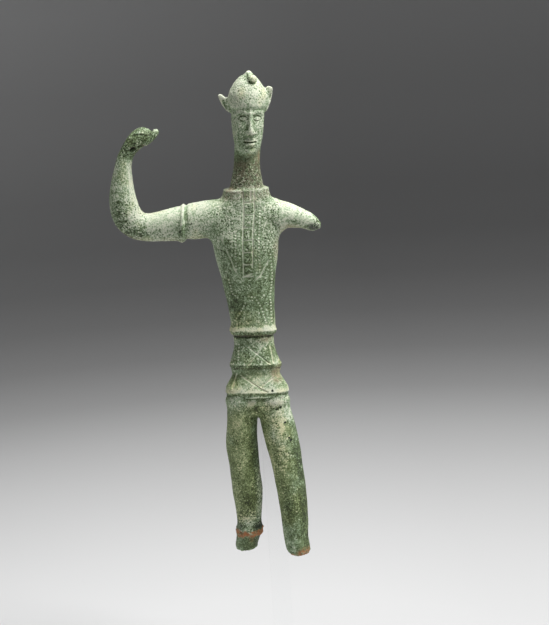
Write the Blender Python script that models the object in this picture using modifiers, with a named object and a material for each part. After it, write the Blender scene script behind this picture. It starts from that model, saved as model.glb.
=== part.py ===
"""A small solid-cast bronze warrior held upright by a clear bar and foot.

Metres, +Z up, the figure faces -Y. The origin is the middle of the foot's underside. The figure is
drawn on its own scale, in parts of its height, so every number in its tables is a share of
FIGURE_HEIGHT; at the real size one part is one millimetre.
"""

import math

import bmesh
import bpy
from mathutils import Matrix, Vector
from mathutils.bvhtree import BVHTree

# The real sizes that drive the stand and the figure.
FIGURE_HEIGHT = 0.2296
BAR_WIDTH = 0.0095
BAR_DEPTH = 0.0095
BAR_CENTRE_X = 0.0049
TONGUE_RISE = 0.012
LEG_CLEARANCE = 0.0008
FOOT_WIDTH = 0.090
FOOT_DEPTH = 0.075
FOOT_THICKNESS = 0.012
FOOT_CHAMFER = 0.0012
BAR_CHAMFER = 0.0003
SOCKET_DEPTH = 0.004
CLEAR_BELOW_FIGURE = 0.060
FIT_GAP = 0.0003

# How closely the stand feels for the figure's back when it is fitted to it.
SEAT_SAMPLES = 9
SEAT_ROWS = 36

# The figure's own scale: 229.6 parts from the lower leg's break to the top of the crest stub.
PARTS_TALL = 229.6
LOWEST_PART = 4.9
PART = FIGURE_HEIGHT / PARTS_TALL
FIGURE_BASE = FOOT_THICKNESS + CLEAR_BELOW_FIGURE

# How finely the forms are drawn and the cast skin is worked.
RING_SIDES = 36
RING_STEPS = 4
SPIN_STEPS = 72
BALL_SEGMENTS = 24
BALL_RINGS = 14
SKIN_GRAIN = 0.55
SKIN_PASSES = 4
SKIN_TRIANGLES = 7500

# The cut lines: a tube's half width, how deep its middle lies, and its steps along each stretch.
GROOVE_RADIUS = 0.50
GROOVE_SINK = 0.08
GROOVE_STEPS = 4

# Places clear of the figure, before it and behind it, that it is felt for from.
BEFORE = -60.0
BEHIND = 60.0
WELD = 1e-6

# Oval rings from the hem up to the neck opening: x, y, z, half width, half depth.
TORSO = (
    (0.1, 0.0, 108.0, 8.4, 6.6),
    (0.1, 0.0, 112.0, 9.2, 7.2),
    (0.2, 0.0, 115.0, 10.4, 7.8),
    (0.2, 0.0, 118.0, 10.5, 7.9),
    (0.0, 0.0, 125.0, 10.9, 8.0),
    (-0.4, -0.1, 132.0, 11.8, 8.3),
    (-0.5, -0.3, 140.0, 12.8, 8.9),
    (-0.6, -0.5, 146.0, 14.1, 9.3),
    (-0.6, -0.6, 151.0, 14.9, 9.6),
    (-0.6, -0.6, 155.6, 15.5, 9.7),
    (-0.8, -0.6, 158.4, 16.8, 9.3),
    (-0.9, -0.5, 160.6, 18.4, 8.9),
    (-0.8, -0.4, 163.5, 18.4, 8.8),
    (-0.3, -0.1, 168.5, 16.6, 8.6),
    (-0.5, 0.0, 172.5, 15.4, 8.1),
    (0.4, 0.0, 176.0, 12.1, 7.6),
    (1.2, 0.0, 179.4, 9.4, 7.2),
)
TORSO_POWER = 2.3
COLLAR = (
    (0.7, 0.0, 172.6, 12.3, 8.6),
    (0.8, 0.0, 173.6, 12.1, 8.5),
    (1.0, 0.0, 177.0, 11.2, 8.1),
    (1.1, 0.0, 179.8, 10.5, 7.8),
    (1.1, 0.0, 180.4, 10.1, 7.5),
)
NECK = (
    (1.2, 0.0, 176.0, 8.6, 7.2),
    (1.5, 0.0, 181.0, 8.1, 6.9),
    (1.7, 0.0, 184.0, 7.3, 6.4),
    (2.2, 0.2, 190.0, 6.3, 5.9),
    (2.8, 0.5, 196.0, 6.1, 5.9),
    (3.4, 0.8, 202.0, 6.0, 6.0),
    (3.9, 0.8, 208.0, 5.8, 6.0),
    (4.2, 0.4, 213.0, 5.0, 5.2),
)

# The raised arm, from inside the chest out to the elbow and up to the wrist.
RAISED_ARM = (
    (-2.0, 0.0, 167.6, 8.8, 7.8),
    (-9.0, 0.0, 167.6, 8.8, 7.8),
    (-15.0, 0.0, 167.4, 8.8, 7.7),
    (-22.0, 0.0, 166.9, 8.6, 7.4),
    (-25.6, 0.0, 166.5, 8.5, 7.3),
    (-27.2, 0.0, 166.4, 7.7, 6.8),
    (-28.4, 0.0, 166.4, 7.8, 6.8),
    (-30.5, 0.0, 166.1, 8.1, 7.0),
    (-34.0, 0.0, 165.8, 7.7, 6.8),
    (-40.0, 0.0, 165.3, 7.0, 6.5),
    (-46.0, 0.0, 165.3, 6.5, 6.3),
    (-51.2, -0.2, 167.0, 6.8, 6.3),
    (-54.7, -0.4, 171.6, 7.0, 6.4),
    (-56.0, -0.6, 177.6, 6.6, 6.3),
    (-56.0, -0.8, 184.0, 5.7, 5.6),
    (-55.3, -1.0, 190.0, 4.6, 4.8),
    (-54.4, -1.0, 195.0, 3.9, 4.3),
    (-53.3, -1.0, 198.6, 3.6, 4.1),
)
SLEEVE_END = (
    (-28.0, 0.0, 166.1, 7.9, 7.0),
    (-28.4, 0.0, 166.1, 8.8, 7.7),
    (-29.2, 0.0, 166.2, 9.3, 8.1),
    (-30.0, 0.0, 166.3, 8.9, 7.7),
    (-30.6, 0.0, 166.4, 7.9, 7.0),
)
FIST = (
    (-54.2, -1.0, 195.6, 3.7, 4.1),
    (-53.3, -1.0, 198.4, 3.5, 4.1),
    (-51.9, -1.0, 201.0, 3.5, 4.2),
    (-49.7, -1.1, 203.8, 3.8, 4.6),
    (-47.2, -1.2, 206.2, 4.2, 5.0),
    (-44.4, -1.2, 207.8, 4.2, 4.9),
    (-42.2, -1.2, 208.0, 3.3, 4.3),
    (-40.9, -1.2, 207.7, 2.1, 3.0),
)
THUMB = (
    (-44.0, -4.2, 204.4, 1.4, 1.4),
    (-41.8, -4.4, 205.8, 1.6, 1.6),
    (-39.5, -3.8, 207.9, 1.7, 1.7),
    (-38.1, -2.9, 209.7, 1.6, 1.6),
    (-37.6, -2.5, 210.5, 0.9, 0.9),
)
BROKEN_ARM = (
    (3.0, 0.0, 167.4, 8.8, 7.8),
    (9.0, 0.0, 167.2, 8.9, 7.8),
    (14.6, 0.0, 166.6, 8.4, 7.6),
    (19.3, 0.0, 166.6, 6.2, 6.9),
    (23.4, 0.0, 165.4, 5.2, 6.1),
    (26.8, 0.0, 164.2, 4.4, 5.4),
    (29.2, 0.0, 163.0, 4.0, 4.8),
    (31.4, 0.0, 161.7, 3.5, 4.1),
    (33.2, 0.0, 160.7, 2.6, 3.2),
    (34.5, 0.0, 160.1, 1.5, 2.0),
)

# The legs, from under the skirt down to the breaks at the ankles.
TRAILING_LEG = (
    (-10.4, 2.5, 5.6, 4.8, 4.9),
    (-10.4, 2.5, 6.6, 5.3, 5.4),
    (-9.9, 2.4, 9.0, 5.6, 5.7),
    (-9.1, 2.3, 12.0, 5.9, 6.0),
    (-8.4, 2.2, 13.6, 6.6, 6.7),
    (-8.2, 2.2, 16.2, 6.6, 6.6),
    (-8.2, 2.1, 18.2, 6.0, 6.1),
    (-8.1, 2.0, 22.0, 6.0, 6.2),
    (-7.9, 1.9, 27.0, 6.5, 6.8),
    (-7.9, 1.7, 33.0, 7.2, 7.6),
    (-8.1, 1.5, 39.0, 7.3, 7.8),
    (-8.5, 1.2, 45.0, 7.2, 7.5),
    (-8.8, 0.9, 51.5, 7.4, 7.3),
    (-9.1, 0.7, 57.5, 7.6, 7.5),
    (-8.7, 0.4, 64.5, 7.4, 7.6),
    (-8.1, 0.2, 70.5, 7.2, 7.9),
    (-7.5, -0.1, 78.0, 7.2, 8.2),
    (-7.0, -0.2, 84.0, 7.0, 8.2),
)
LEADING_LEG = (
    (15.0, -9.0, 4.9, 3.6, 3.8),
    (14.8, -9.0, 6.2, 5.2, 5.3),
    (14.3, -8.8, 9.0, 5.9, 5.9),
    (13.8, -8.2, 14.4, 5.95, 6.0),
    (13.8, -7.2, 22.0, 6.4, 6.6),
    (13.5, -6.0, 29.8, 6.8, 7.2),
    (13.0, -5.0, 37.4, 7.1, 7.7),
    (12.1, -4.0, 45.1, 7.3, 7.6),
    (11.2, -3.1, 52.8, 7.7, 7.5),
    (9.9, -2.3, 60.6, 8.1, 7.8),
    (8.7, -1.4, 68.2, 8.0, 7.9),
    (7.7, -0.7, 74.0, 7.7, 8.1),
    (6.9, -0.2, 79.0, 7.3, 8.2),
    (6.6, -0.2, 84.0, 7.0, 8.2),
)

# The belt rim and the two flared tiers of the skirt: radius and height, top to bottom.
SKIRT_PROFILE = (
    (9.6, 117.5),
    (10.4, 115.6),
    (10.95, 114.4),
    (11.0, 113.2),
    (10.7, 112.0),
    (9.9, 111.0),
    (9.4, 109.6),
    (9.4, 106.5),
    (9.9, 104.0),
    (10.7, 101.5),
    (11.6, 98.6),
    (12.15, 97.0),
    (12.2, 95.9),
    (11.9, 94.9),
    (11.0, 94.1),
    (11.1, 92.4),
    (12.2, 90.4),
    (13.6, 87.4),
    (14.8, 85.0),
    (15.0, 83.8),
    (14.9, 82.6),
    (14.3, 81.6),
    (12.6, 81.0),
    (10.5, 80.8),
)
PELVIS = (0.3, -0.9, 79.2)
PELVIS_SIZES = (9.0, 7.7, 7.5)
HEM_ROW = 19
HEM_UNDERSIDE = SKIRT_PROFILE[-1][1]
HEM_CLEARANCE = 1.2
# How deep the skirt is, as a share of its half width, at a height: in front and behind.
SKIRT_DEPTHS = (
    (80.0, 0.67, 0.86),
    (84.0, 0.68, 0.86),
    (91.0, 0.64, 0.80),
    (93.5, 0.62, 0.76),
    (96.0, 0.69, 0.78),
    (104.0, 0.70, 0.77),
    (109.6, 0.66, 0.74),
    (112.5, 0.76, 0.77),
    (118.0, 0.76, 0.76),
)
SKIRT_POWER = 2.5
# The belt and hem sit lower on the figure's left, and a little higher in front than behind.
SKIRT_SLOPE = 0.045
BELT_LIFT = 0.10

# The head stands on the neck, leaning and turned a little to the figure's left. It is drawn from
# its own middle, which is the eyes' height, facing -y.
HEAD_CENTRE = (4.2, -0.2, 213.0)
HEAD_LEAN = math.radians(4.5)
HEAD_TURN = math.radians(10.0)
HEAD_TALL = 35.0
CHIN = -HEAD_TALL / 2
FACE_THIRD = HEAD_TALL * 0.29
NOSE_FOOT = CHIN + FACE_THIRD
BROW = NOSE_FOOT + FACE_THIRD
MOUTH = NOSE_FOOT - FACE_THIRD / 3
HEAD_RINGS = (
    (0.0, -3.4, CHIN + 0.2, 2.4, 2.4),
    (0.0, -3.2, CHIN + 1.4, 4.1, 4.1),
    (0.0, -2.4, CHIN + 4.0, 5.6, 5.6),
    (0.0, -1.6, MOUTH, 6.4, 6.4),
    (0.0, -0.9, NOSE_FOOT, 7.0, 7.1),
    (0.0, -0.3, -2.5, 7.5, 7.9),
    (0.0, 0.2, BROW, 7.6, 8.5),
    (0.0, 0.4, 8.0, 7.6, 8.7),
    (0.0, 0.4, 13.0, 6.2, 6.8),
)
NOSE_RINGS = (
    (0.0, -7.4, BROW + 0.6, 0.9, 1.2),
    (0.0, -8.3, 0.4, 0.9, 1.5),
    (0.0, -9.2, -3.4, 1.1, 1.7),
    (0.0, -9.9, NOSE_FOOT + 1.4, 1.45, 1.7),
    (0.0, -9.5, NOSE_FOOT + 0.2, 1.3, 1.1),
)
NOSTRILS = ((-1.45, -8.7, NOSE_FOOT + 0.9), (1.45, -8.7, NOSE_FOOT + 0.9))
NOSTRIL_SIZES = (0.95, 1.3, 0.95)
CAP_RINGS = (
    (0.0, 0.2, BROW + 1.4, 8.0, 9.0),
    (0.0, 0.3, BROW + 2.6, 8.5, 9.4),
    (0.0, 0.5, 8.0, 8.9, 9.4),
    (0.0, 0.5, 11.0, 8.7, 9.0),
    (0.1, 0.4, 14.0, 7.4, 7.7),
    (0.3, 0.2, 16.8, 5.5, 5.8),
    (0.5, 0.0, 18.8, 3.5, 3.8),
    (0.6, 0.0, 19.8, 1.8, 2.0),
)
# Soft rises and hollows of the face, the same on both sides: across, up, half width, half height
# and rise.
FACE_SWELLS = (
    (3.3, 0.3, 2.6, 2.2, -1.25),
    (3.3, 0.0, 1.9, 1.15, 1.15),
    (3.6, BROW - 0.3, 3.0, 0.9, 0.55),
    (4.4, -4.6, 2.4, 2.2, 0.45),
    (1.1, MOUTH + 0.75, 1.5, 0.7, 0.55),
    (0.9, MOUTH - 0.95, 1.5, 0.75, 0.65),
    (1.2, MOUTH - 0.05, 2.2, 0.35, -0.45),
    (0.8, MOUTH - 2.6, 1.6, 0.8, -0.45),
    (0.8, CHIN + 2.2, 1.9, 1.6, 0.55),
)
CREST_STUB = (((7.4, -4.2, 230.6), (1.9, 2.4, 1.8)), ((6.0, -0.8, 232.6), (1.7, 2.6, 1.9)))

# Turned-up cheek flaps of the cap, drawn flat as x and z outlines.
RIGHT_FLAP = (
    (0.5, 221.0),
    (-3.8, 221.6),
    (-7.9, 224.9),
    (-9.0, 223.8),
    (-7.3, 219.2),
    (-5.2, 216.2),
    (0.5, 214.0),
)
LEFT_FLAP = (
    (8.5, 224.5),
    (12.6, 225.2),
    (14.6, 227.0),
    (16.7, 225.8),
    (16.3, 222.9),
    (15.1, 219.3),
    (13.4, 215.6),
    (9.0, 213.2),
)
FLAP_THICKNESS = 2.0
FLAP_SETBACK = 0.8

# Lines cut into the front, as x and z: the ladder band, the breast arcs and the skirt's crosses.
BAND_LEFT = ((-0.7, 180.0), (-0.6, 171.4), (-2.1, 157.2), (-2.8, 140.1))
BAND_RIGHT = ((4.7, 175.6), (4.5, 170.5), (3.8, 166.0), (2.9, 160.0), (2.6, 154.0), (1.8, 144.6))
BAND_RUNGS = 7
BAND_TOP = 174.2
BAND_PITCH = 5.72
BREAST_RIGHT = (
    (-12.0, 159.6),
    (-9.6, 153.2),
    (-7.9, 148.6),
    (-6.6, 144.1),
    (-4.9, 141.0),
    (-2.6, 138.6),
)
BREAST_LEFT = ((9.5, 147.4), (7.6, 144.5), (5.3, 140.4), (1.8, 137.6))
UPPER_CROSS = (
    ((-4.6, 108.2), (6.9, 98.2)),
    ((4.4, 107.0), (-3.9, 97.5)),
    ((7.4, 106.2), (8.6, 98.4)),
)
LOWER_CROSS = (
    ((-7.2, 93.2), (1.4, 87.1), (5.0, 85.0)),
    ((-9.1, 93.8), (-11.6, 86.8)),
    ((7.5, 91.0), (2.0, 87.6)),
)

# The materials: colour, roughness, metal share and how solid they look.
BRONZE = ((0.20, 0.29, 0.19), 0.72, 0.35, 1.0)
CLEAR_PLASTIC = ((0.90, 0.94, 0.94), 0.04, 0.0, 0.25)


def clear_scene():
    """Remove what the file starts with."""
    for thing in list(bpy.data.objects):
        bpy.data.objects.remove(thing, do_unlink=True)


def collection(name, parent):
    """Make a collection inside another."""
    group = bpy.data.collections.new(name)
    parent.children.link(group)
    return group


def material(name, look):
    """Make a Principled material."""
    colour, roughness, metallic, alpha = look
    made = bpy.data.materials.new(name)
    made.use_nodes = True
    shader = made.node_tree.nodes["Principled BSDF"]
    shader.inputs["Base Color"].default_value = (*colour, 1.0)
    shader.inputs["Roughness"].default_value = roughness
    shader.inputs["Metallic"].default_value = metallic
    shader.inputs["Alpha"].default_value = alpha
    return made


def at(x, y, z):
    """Turn a place on the figure's own scale into metres."""
    return Vector((x * PART, y * PART, FIGURE_BASE + (z - LOWEST_PART) * PART))


def curve_point(before, start, end, after, t):
    """Give the value a share t of the way from start to end on a smooth curve."""
    bend = 2 * before - 5 * start + 4 * end - after
    twist = 3 * start - before - 3 * end + after
    return 0.5 * (2 * start + (end - before) * t + bend * t ** 2 + twist * t ** 3)


def smooth_rows(rows, steps):
    """Run a smooth curve through rows of numbers, with steps rows for each gap."""
    made = []
    for index in range(len(rows) - 1):
        before = rows[max(index - 1, 0)]
        start = rows[index]
        end = rows[index + 1]
        after = rows[min(index + 2, len(rows) - 1)]
        for step in range(steps):
            t = step / steps
            made.append([curve_point(*near, t) for near in zip(before, start, end, after)])
    made.append(list(rows[-1]))
    return made


def squared(turn, power):
    """Give the unit oval's two coordinates at a turn; a higher power makes a flatter front."""
    across = math.copysign(abs(math.cos(turn)) ** (2 / power), math.cos(turn))
    through = math.copysign(abs(math.sin(turn)) ** (2 / power), math.sin(turn))
    return across, through


def loft(shape, stations, placed=at, level=False, power=2.0):
    """Skin a closed form over oval rings, level or square to the line through their centres."""
    rows = smooth_rows(stations, RING_STEPS)
    centres = [placed(*row[:3]) for row in rows]
    rings = []
    for index, (centre, row) in enumerate(zip(centres, rows)):
        along = (centres[min(index + 1, len(rows) - 1)] - centres[max(index - 1, 0)]).normalized()
        if level:
            along = Vector((0.0, 0.0, 1.0))
        deep = (Vector((0.0, 1.0, 0.0)) - along * along.y).normalized()
        wide = deep.cross(along)
        ring = []
        for side in range(RING_SIDES):
            across, through = squared(2 * math.pi * side / RING_SIDES, power)
            offset = wide * row[3] * across + deep * row[4] * through
            ring.append(shape.verts.new(centre + offset * PART))
        rings.append(ring)
    for lower, upper in zip(rings, rings[1:]):
        for side in range(RING_SIDES):
            beside = (side + 1) % RING_SIDES
            shape.faces.new((lower[side], lower[beside], upper[beside], upper[side]))
    shape.faces.new(list(reversed(rings[0])))
    shape.faces.new(rings[-1])


def blob(shape, centre, sizes, placed=at, turn=Matrix.Identity(3)):
    """Add a ball stretched to three half sizes and turned."""
    made = bmesh.ops.create_uvsphere(
        shape, u_segments=BALL_SEGMENTS, v_segments=BALL_RINGS, radius=PART)
    middle = placed(*centre)
    for vertex in made["verts"]:
        stretched = Vector([part * size for part, size in zip(vertex.co, sizes)])
        vertex.co = middle + turn @ stretched


def skirt_depth(height, front):
    """Say how deep the skirt is at a height, as a share of its half width, in front or behind."""
    column = 1 if front else 2
    for lower, upper in zip(SKIRT_DEPTHS, SKIRT_DEPTHS[1:]):
        if height <= upper[0]:
            share = max(0.0, (height - lower[0]) / (upper[0] - lower[0]))
            return lower[column] + (upper[column] - lower[column]) * share
    return SKIRT_DEPTHS[-1][column]


def skirt(shape):
    """Turn the belt rim and the skirt's tiers about the figure's axis, then flatten front and back."""
    line = [shape.verts.new((0.0, 0.0, SKIRT_PROFILE[0][1]))]
    line += [shape.verts.new((radius, 0.0, height)) for radius, height in SKIRT_PROFILE]
    line.append(shape.verts.new((0.0, 0.0, SKIRT_PROFILE[-1][1])))
    edges = [shape.edges.new(pair) for pair in zip(line, line[1:])]
    bmesh.ops.spin(
        shape, geom=line + edges, cent=(0.0, 0.0, 0.0), axis=(0.0, 0.0, 1.0), dvec=(0.0, 0.0, 0.0),
        angle=2 * math.pi, steps=SPIN_STEPS, use_merge=True, use_duplicate=False)
    bmesh.ops.remove_doubles(shape, verts=shape.verts, dist=1e-5)
    bmesh.ops.recalc_face_normals(shape, faces=shape.faces)
    for vertex in shape.verts:
        x, y, z = vertex.co
        across, through = squared(math.atan2(y, x), SKIRT_POWER)
        radius = math.hypot(x, y)
        x = radius * across
        y = radius * through * skirt_depth(z, y < 0.0)
        vertex.co = at(x, y, z - SKIRT_SLOPE * x - BELT_LIFT * y)


def flap(shape, outline):
    """Raise a flat outline, given as x and z, into a plate beside the head."""
    half = FLAP_THICKNESS / 2
    near = [shape.verts.new(at(x, FLAP_SETBACK - half, z)) for x, z in outline]
    plate = shape.faces.new(near)
    raised = bmesh.ops.extrude_face_region(shape, geom=[plate])
    for vertex in raised["geom"]:
        if isinstance(vertex, bmesh.types.BMVert):
            vertex.co.y += FLAP_THICKNESS * PART
    bmesh.ops.recalc_face_normals(shape, faces=shape.faces)


def head_turned():
    """Give the head's lean and turn."""
    return Matrix.Rotation(HEAD_LEAN, 3, "Y") @ Matrix.Rotation(HEAD_TURN, 3, "Z")


def head_place(x, y, z):
    """Place a point that is given from the head's own middle."""
    turned = head_turned() @ Vector((x, y, z))
    return at(*(Vector(HEAD_CENTRE) + turned))


def add_head(parts):
    """Add the head, its cap, the crest stub and the two turned-up flaps."""
    for rings in (HEAD_RINGS, NOSE_RINGS, CAP_RINGS):
        shape = bmesh.new()
        loft(shape, rings, placed=head_place)
        parts.append(shape)
    for centre in NOSTRILS:
        shape = bmesh.new()
        blob(shape, centre, NOSTRIL_SIZES, placed=head_place, turn=head_turned())
        parts.append(shape)
    for centre, sizes in CREST_STUB:
        shape = bmesh.new()
        blob(shape, centre, sizes)
        parts.append(shape)
    for outline in (RIGHT_FLAP, LEFT_FLAP):
        shape = bmesh.new()
        flap(shape, outline)
        parts.append(shape)


def sculpt_face(mesh):
    """Press the soft rises and hollows of a calm, plain face into the front of the head."""
    unturned = head_turned().transposed()
    centre = at(*HEAD_CENTRE)
    forward = head_turned() @ Vector((0.0, -1.0, 0.0))
    for vertex in mesh.vertices:
        place = unturned @ (vertex.co - centre) / PART
        facing = max(0.0, vertex.normal.dot(forward))
        if place.y > 0.0 or abs(place.z) > HEAD_TALL / 2:
            continue
        rise = 0.0
        for across, up, half_wide, half_high, height in FACE_SWELLS:
            for side in (-1.0, 1.0):
                away = ((place.x - side * across) / half_wide) ** 2 + ((place.z - up) / half_high) ** 2
                rise += height * math.exp(-away)
        vertex.co += forward * rise * facing * PART


def raw_figure():
    """Model the warrior as overlapping solids, before the skin is worked into one."""
    parts = []
    for stations in (RAISED_ARM, SLEEVE_END, FIST, THUMB, BROKEN_ARM):
        shape = bmesh.new()
        loft(shape, stations)
        parts.append(shape)
    for stations in (TORSO, COLLAR):
        shape = bmesh.new()
        loft(shape, stations, level=True, power=TORSO_POWER)
        parts.append(shape)
    for stations in (NECK, TRAILING_LEG, LEADING_LEG):
        shape = bmesh.new()
        loft(shape, stations, level=True)
        parts.append(shape)
    shape = bmesh.new()
    skirt(shape)
    parts.append(shape)
    pelvis = bmesh.new()
    blob(pelvis, PELVIS, PELVIS_SIZES)
    parts.append(pelvis)
    add_head(parts)
    joined = bpy.data.meshes.new("warrior_forms")
    together = bmesh.new()
    for shape in parts:
        held = bpy.data.meshes.new("form")
        shape.to_mesh(held)
        shape.free()
        together.from_mesh(held)
        bpy.data.meshes.remove(held)
    together.to_mesh(joined)
    together.free()
    return joined


def evaluated(thing):
    """Return the mesh that an object's modifiers make, as a mesh of its own."""
    graph = bpy.context.evaluated_depsgraph_get()
    return bpy.data.meshes.new_from_object(thing.evaluated_get(graph))


def cast_skin(group):
    """Work the overlapping solids into one smooth closed skin with few faces."""
    figure = bpy.data.objects.new("bronze_warrior", raw_figure())
    group.objects.link(figure)
    remesh = figure.modifiers.new("one skin", "REMESH")
    remesh.mode = "VOXEL"
    remesh.voxel_size = SKIN_GRAIN * PART
    relax = figure.modifiers.new("relax", "SMOOTH")
    relax.factor = 0.5
    relax.iterations = SKIN_PASSES
    figure.data = evaluated(figure)
    figure.modifiers.clear()
    sculpt_face(figure.data)
    figure.data.calc_loop_triangles()
    thin = figure.modifiers.new("few faces", "DECIMATE")
    thin.ratio = SKIN_TRIANGLES / len(figure.data.loop_triangles)
    thin.use_collapse_triangulate = True
    figure.data = evaluated(figure)
    figure.modifiers.clear()
    return figure


def groove(cutters, name, tree, line):
    """Make a thin tube along a line of x and z, laid on the front of the skin."""
    rows = smooth_rows(line, GROOVE_STEPS)
    points = []
    for x, z in rows:
        start = at(x, BEFORE, z)
        hit = tree.ray_cast(start, Vector((0.0, 1.0, 0.0)))[0]
        points.append(hit + Vector((0.0, GROOVE_SINK * PART, 0.0)))
    drawn = bpy.data.curves.new(name, "CURVE")
    drawn.dimensions = "3D"
    drawn.bevel_depth = GROOVE_RADIUS * PART
    drawn.bevel_resolution = 0
    drawn.use_fill_caps = True
    spline = drawn.splines.new("POLY")
    spline.points.add(len(points) - 1)
    for knot, point in zip(spline.points, points):
        knot.co = (*point, 1.0)
    path = bpy.data.objects.new(name, drawn)
    cutters.objects.link(path)
    made = evaluated(path)
    shape = bmesh.new()
    shape.from_mesh(made)
    bmesh.ops.remove_doubles(shape, verts=shape.verts, dist=WELD)
    bmesh.ops.recalc_face_normals(shape, faces=shape.faces)
    shape.to_mesh(made)
    shape.free()
    bpy.data.objects.remove(path)
    cutter = bpy.data.objects.new(name, made)
    cutters.objects.link(cutter)
    cutter.hide_render = True
    cutter.display_type = "WIRE"
    return cutter


def engraved_lines():
    """List the lines cut into the front, by name."""
    lines = {
        "band_left": BAND_LEFT,
        "band_right": BAND_RIGHT,
        "breast_right": BREAST_RIGHT,
        "breast_left": BREAST_LEFT,
    }
    for rung in range(BAND_RUNGS):
        height = BAND_TOP - rung * BAND_PITCH
        left = band_edge(BAND_LEFT, height)
        right = band_edge(BAND_RIGHT, height)
        lines["rung_%d" % rung] = ((left, height), (right, height))
    for name, crosses in (("upper_cross", UPPER_CROSS), ("lower_cross", LOWER_CROSS)):
        for index, line in enumerate(crosses):
            lines["%s_%d" % (name, index)] = line
    return lines


def band_edge(edge, height):
    """Say where an edge of the ladder band is at a height."""
    for (x_high, high), (x_low, low) in zip(edge, edge[1:]):
        if height >= low:
            share = min(1.0, (high - height) / (high - low))
            return x_high + (x_low - x_high) * share
    return edge[-1][0]


def build_figure(group, cutters):
    """Cast the figure and cut its lines."""
    figure = cast_skin(group)
    graph = bpy.context.evaluated_depsgraph_get()
    tree = BVHTree.FromObject(figure, graph)
    for name, line in engraved_lines().items():
        groove(cutters, "groove_" + name, tree, line)
    cut = figure.modifiers.new("cut lines", "BOOLEAN")
    cut.operand_type = "COLLECTION"
    cut.collection = cutters
    cut.operation = "DIFFERENCE"
    cut.solver = "EXACT"
    figure.data = evaluated(figure)
    figure.modifiers.clear()
    figure.data.materials.clear()
    figure.data.materials.append(material("green bronze patina", BRONZE))
    return figure


def farthest(tree, start_y, xs, zs):
    """Find how far back the figure reaches over a patch seen from behind."""
    reach = []
    for x in xs:
        for z in zs:
            hit = tree.ray_cast(Vector((x, start_y, z)), Vector((0.0, -1.0, 0.0)))[0]
            if hit is not None:
                reach.append(hit.y)
    return max(reach)


def lowest_over(tree, xs, ys):
    """Find the lowest point of the figure over a patch seen from below."""
    drops = []
    for x in xs:
        for y in ys:
            hit = tree.ray_cast(Vector((x, y, 0.0)), Vector((0.0, 0.0, 1.0)))[0]
            if hit is not None:
                drops.append(hit.z)
    return min(drops)


def spread(low, high, count=SEAT_SAMPLES):
    """Give evenly spaced values from low to high."""
    return [low + (high - low) * step / (count - 1) for step in range(count)]


def bar_profile(tree):
    """Work out the bar's side outline, y and z, from the back of the skirt that it carries."""
    half = BAR_WIDTH / 2 + FIT_GAP
    xs = spread(BAR_CENTRE_X - half, BAR_CENTRE_X + half)
    behind = at(0.0, BEHIND, 0.0).y
    hem_rear = SKIRT_PROFILE[HEM_ROW][0] * SKIRT_DEPTHS[0][2]
    under_hem = at(0.0, 0.0, HEM_UNDERSIDE - HEM_CLEARANCE - BELT_LIFT * hem_rear).z
    front = farthest(tree, behind, xs, spread(FIGURE_BASE, under_hem, SEAT_ROWS)) + LEG_CLEARANCE
    back = front + BAR_DEPTH
    ledge = lowest_over(tree, xs, spread(front - FIT_GAP, at(0.0, hem_rear, 0.0).y)) - FIT_GAP
    top = ledge + TONGUE_RISE
    tongue_front = farthest(tree, behind, xs, spread(ledge, top, SEAT_ROWS)) + FIT_GAP
    foot = FOOT_THICKNESS - SOCKET_DEPTH + FIT_GAP
    return (
        (front, foot),
        (back, foot),
        (back, top),
        (tongue_front, top),
        (tongue_front, ledge),
        (front, ledge),
    )


def build_bar(group, profile):
    """Cut the bar from a flat outline, as thick as the bar is wide."""
    drawn = bpy.data.curves.new("bar_outline", "CURVE")
    drawn.dimensions = "2D"
    drawn.fill_mode = "BOTH"
    drawn.extrude = BAR_WIDTH / 2
    spline = drawn.splines.new("POLY")
    spline.points.add(len(profile) - 1)
    spline.use_cyclic_u = True
    for knot, (y, z) in zip(spline.points, profile):
        knot.co = (y, z, 0.0, 1.0)
    outline = bpy.data.objects.new("bar_outline", drawn)
    group.objects.link(outline)
    flat = evaluated(outline)
    bpy.data.objects.remove(outline)
    shape = bmesh.new()
    shape.from_mesh(flat)
    bmesh.ops.remove_doubles(shape, verts=shape.verts, dist=WELD)
    stand_up = Matrix(((0.0, 0.0, 1.0), (1.0, 0.0, 0.0), (0.0, 1.0, 0.0)))
    bmesh.ops.transform(shape, matrix=stand_up.to_4x4(), verts=shape.verts)
    bmesh.ops.translate(shape, vec=(BAR_CENTRE_X, 0.0, 0.0), verts=shape.verts)
    bmesh.ops.recalc_face_normals(shape, faces=shape.faces)
    shape.to_mesh(flat)
    shape.free()
    bar = bpy.data.objects.new("clear_display_bar", flat)
    group.objects.link(bar)
    chamfer(bar, BAR_CHAMFER)
    bar.data.materials.append(material("clear bar plastic", CLEAR_PLASTIC))
    return bar


def chamfer(thing, width):
    """Break the sharp edges of a piece."""
    bevel = thing.modifiers.new("broken edges", "BEVEL")
    bevel.width = width
    bevel.segments = 1
    bevel.limit_method = "ANGLE"


def box(name, group, low, high):
    """Make a box between two corners."""
    shape = bmesh.new()
    bmesh.ops.create_cube(shape, size=1.0)
    size = Vector(high) - Vector(low)
    bmesh.ops.scale(shape, vec=size, verts=shape.verts)
    bmesh.ops.translate(shape, vec=(Vector(low) + Vector(high)) / 2, verts=shape.verts)
    mesh = bpy.data.meshes.new(name)
    shape.to_mesh(mesh)
    shape.free()
    made = bpy.data.objects.new(name, mesh)
    group.objects.link(made)
    return made


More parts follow.
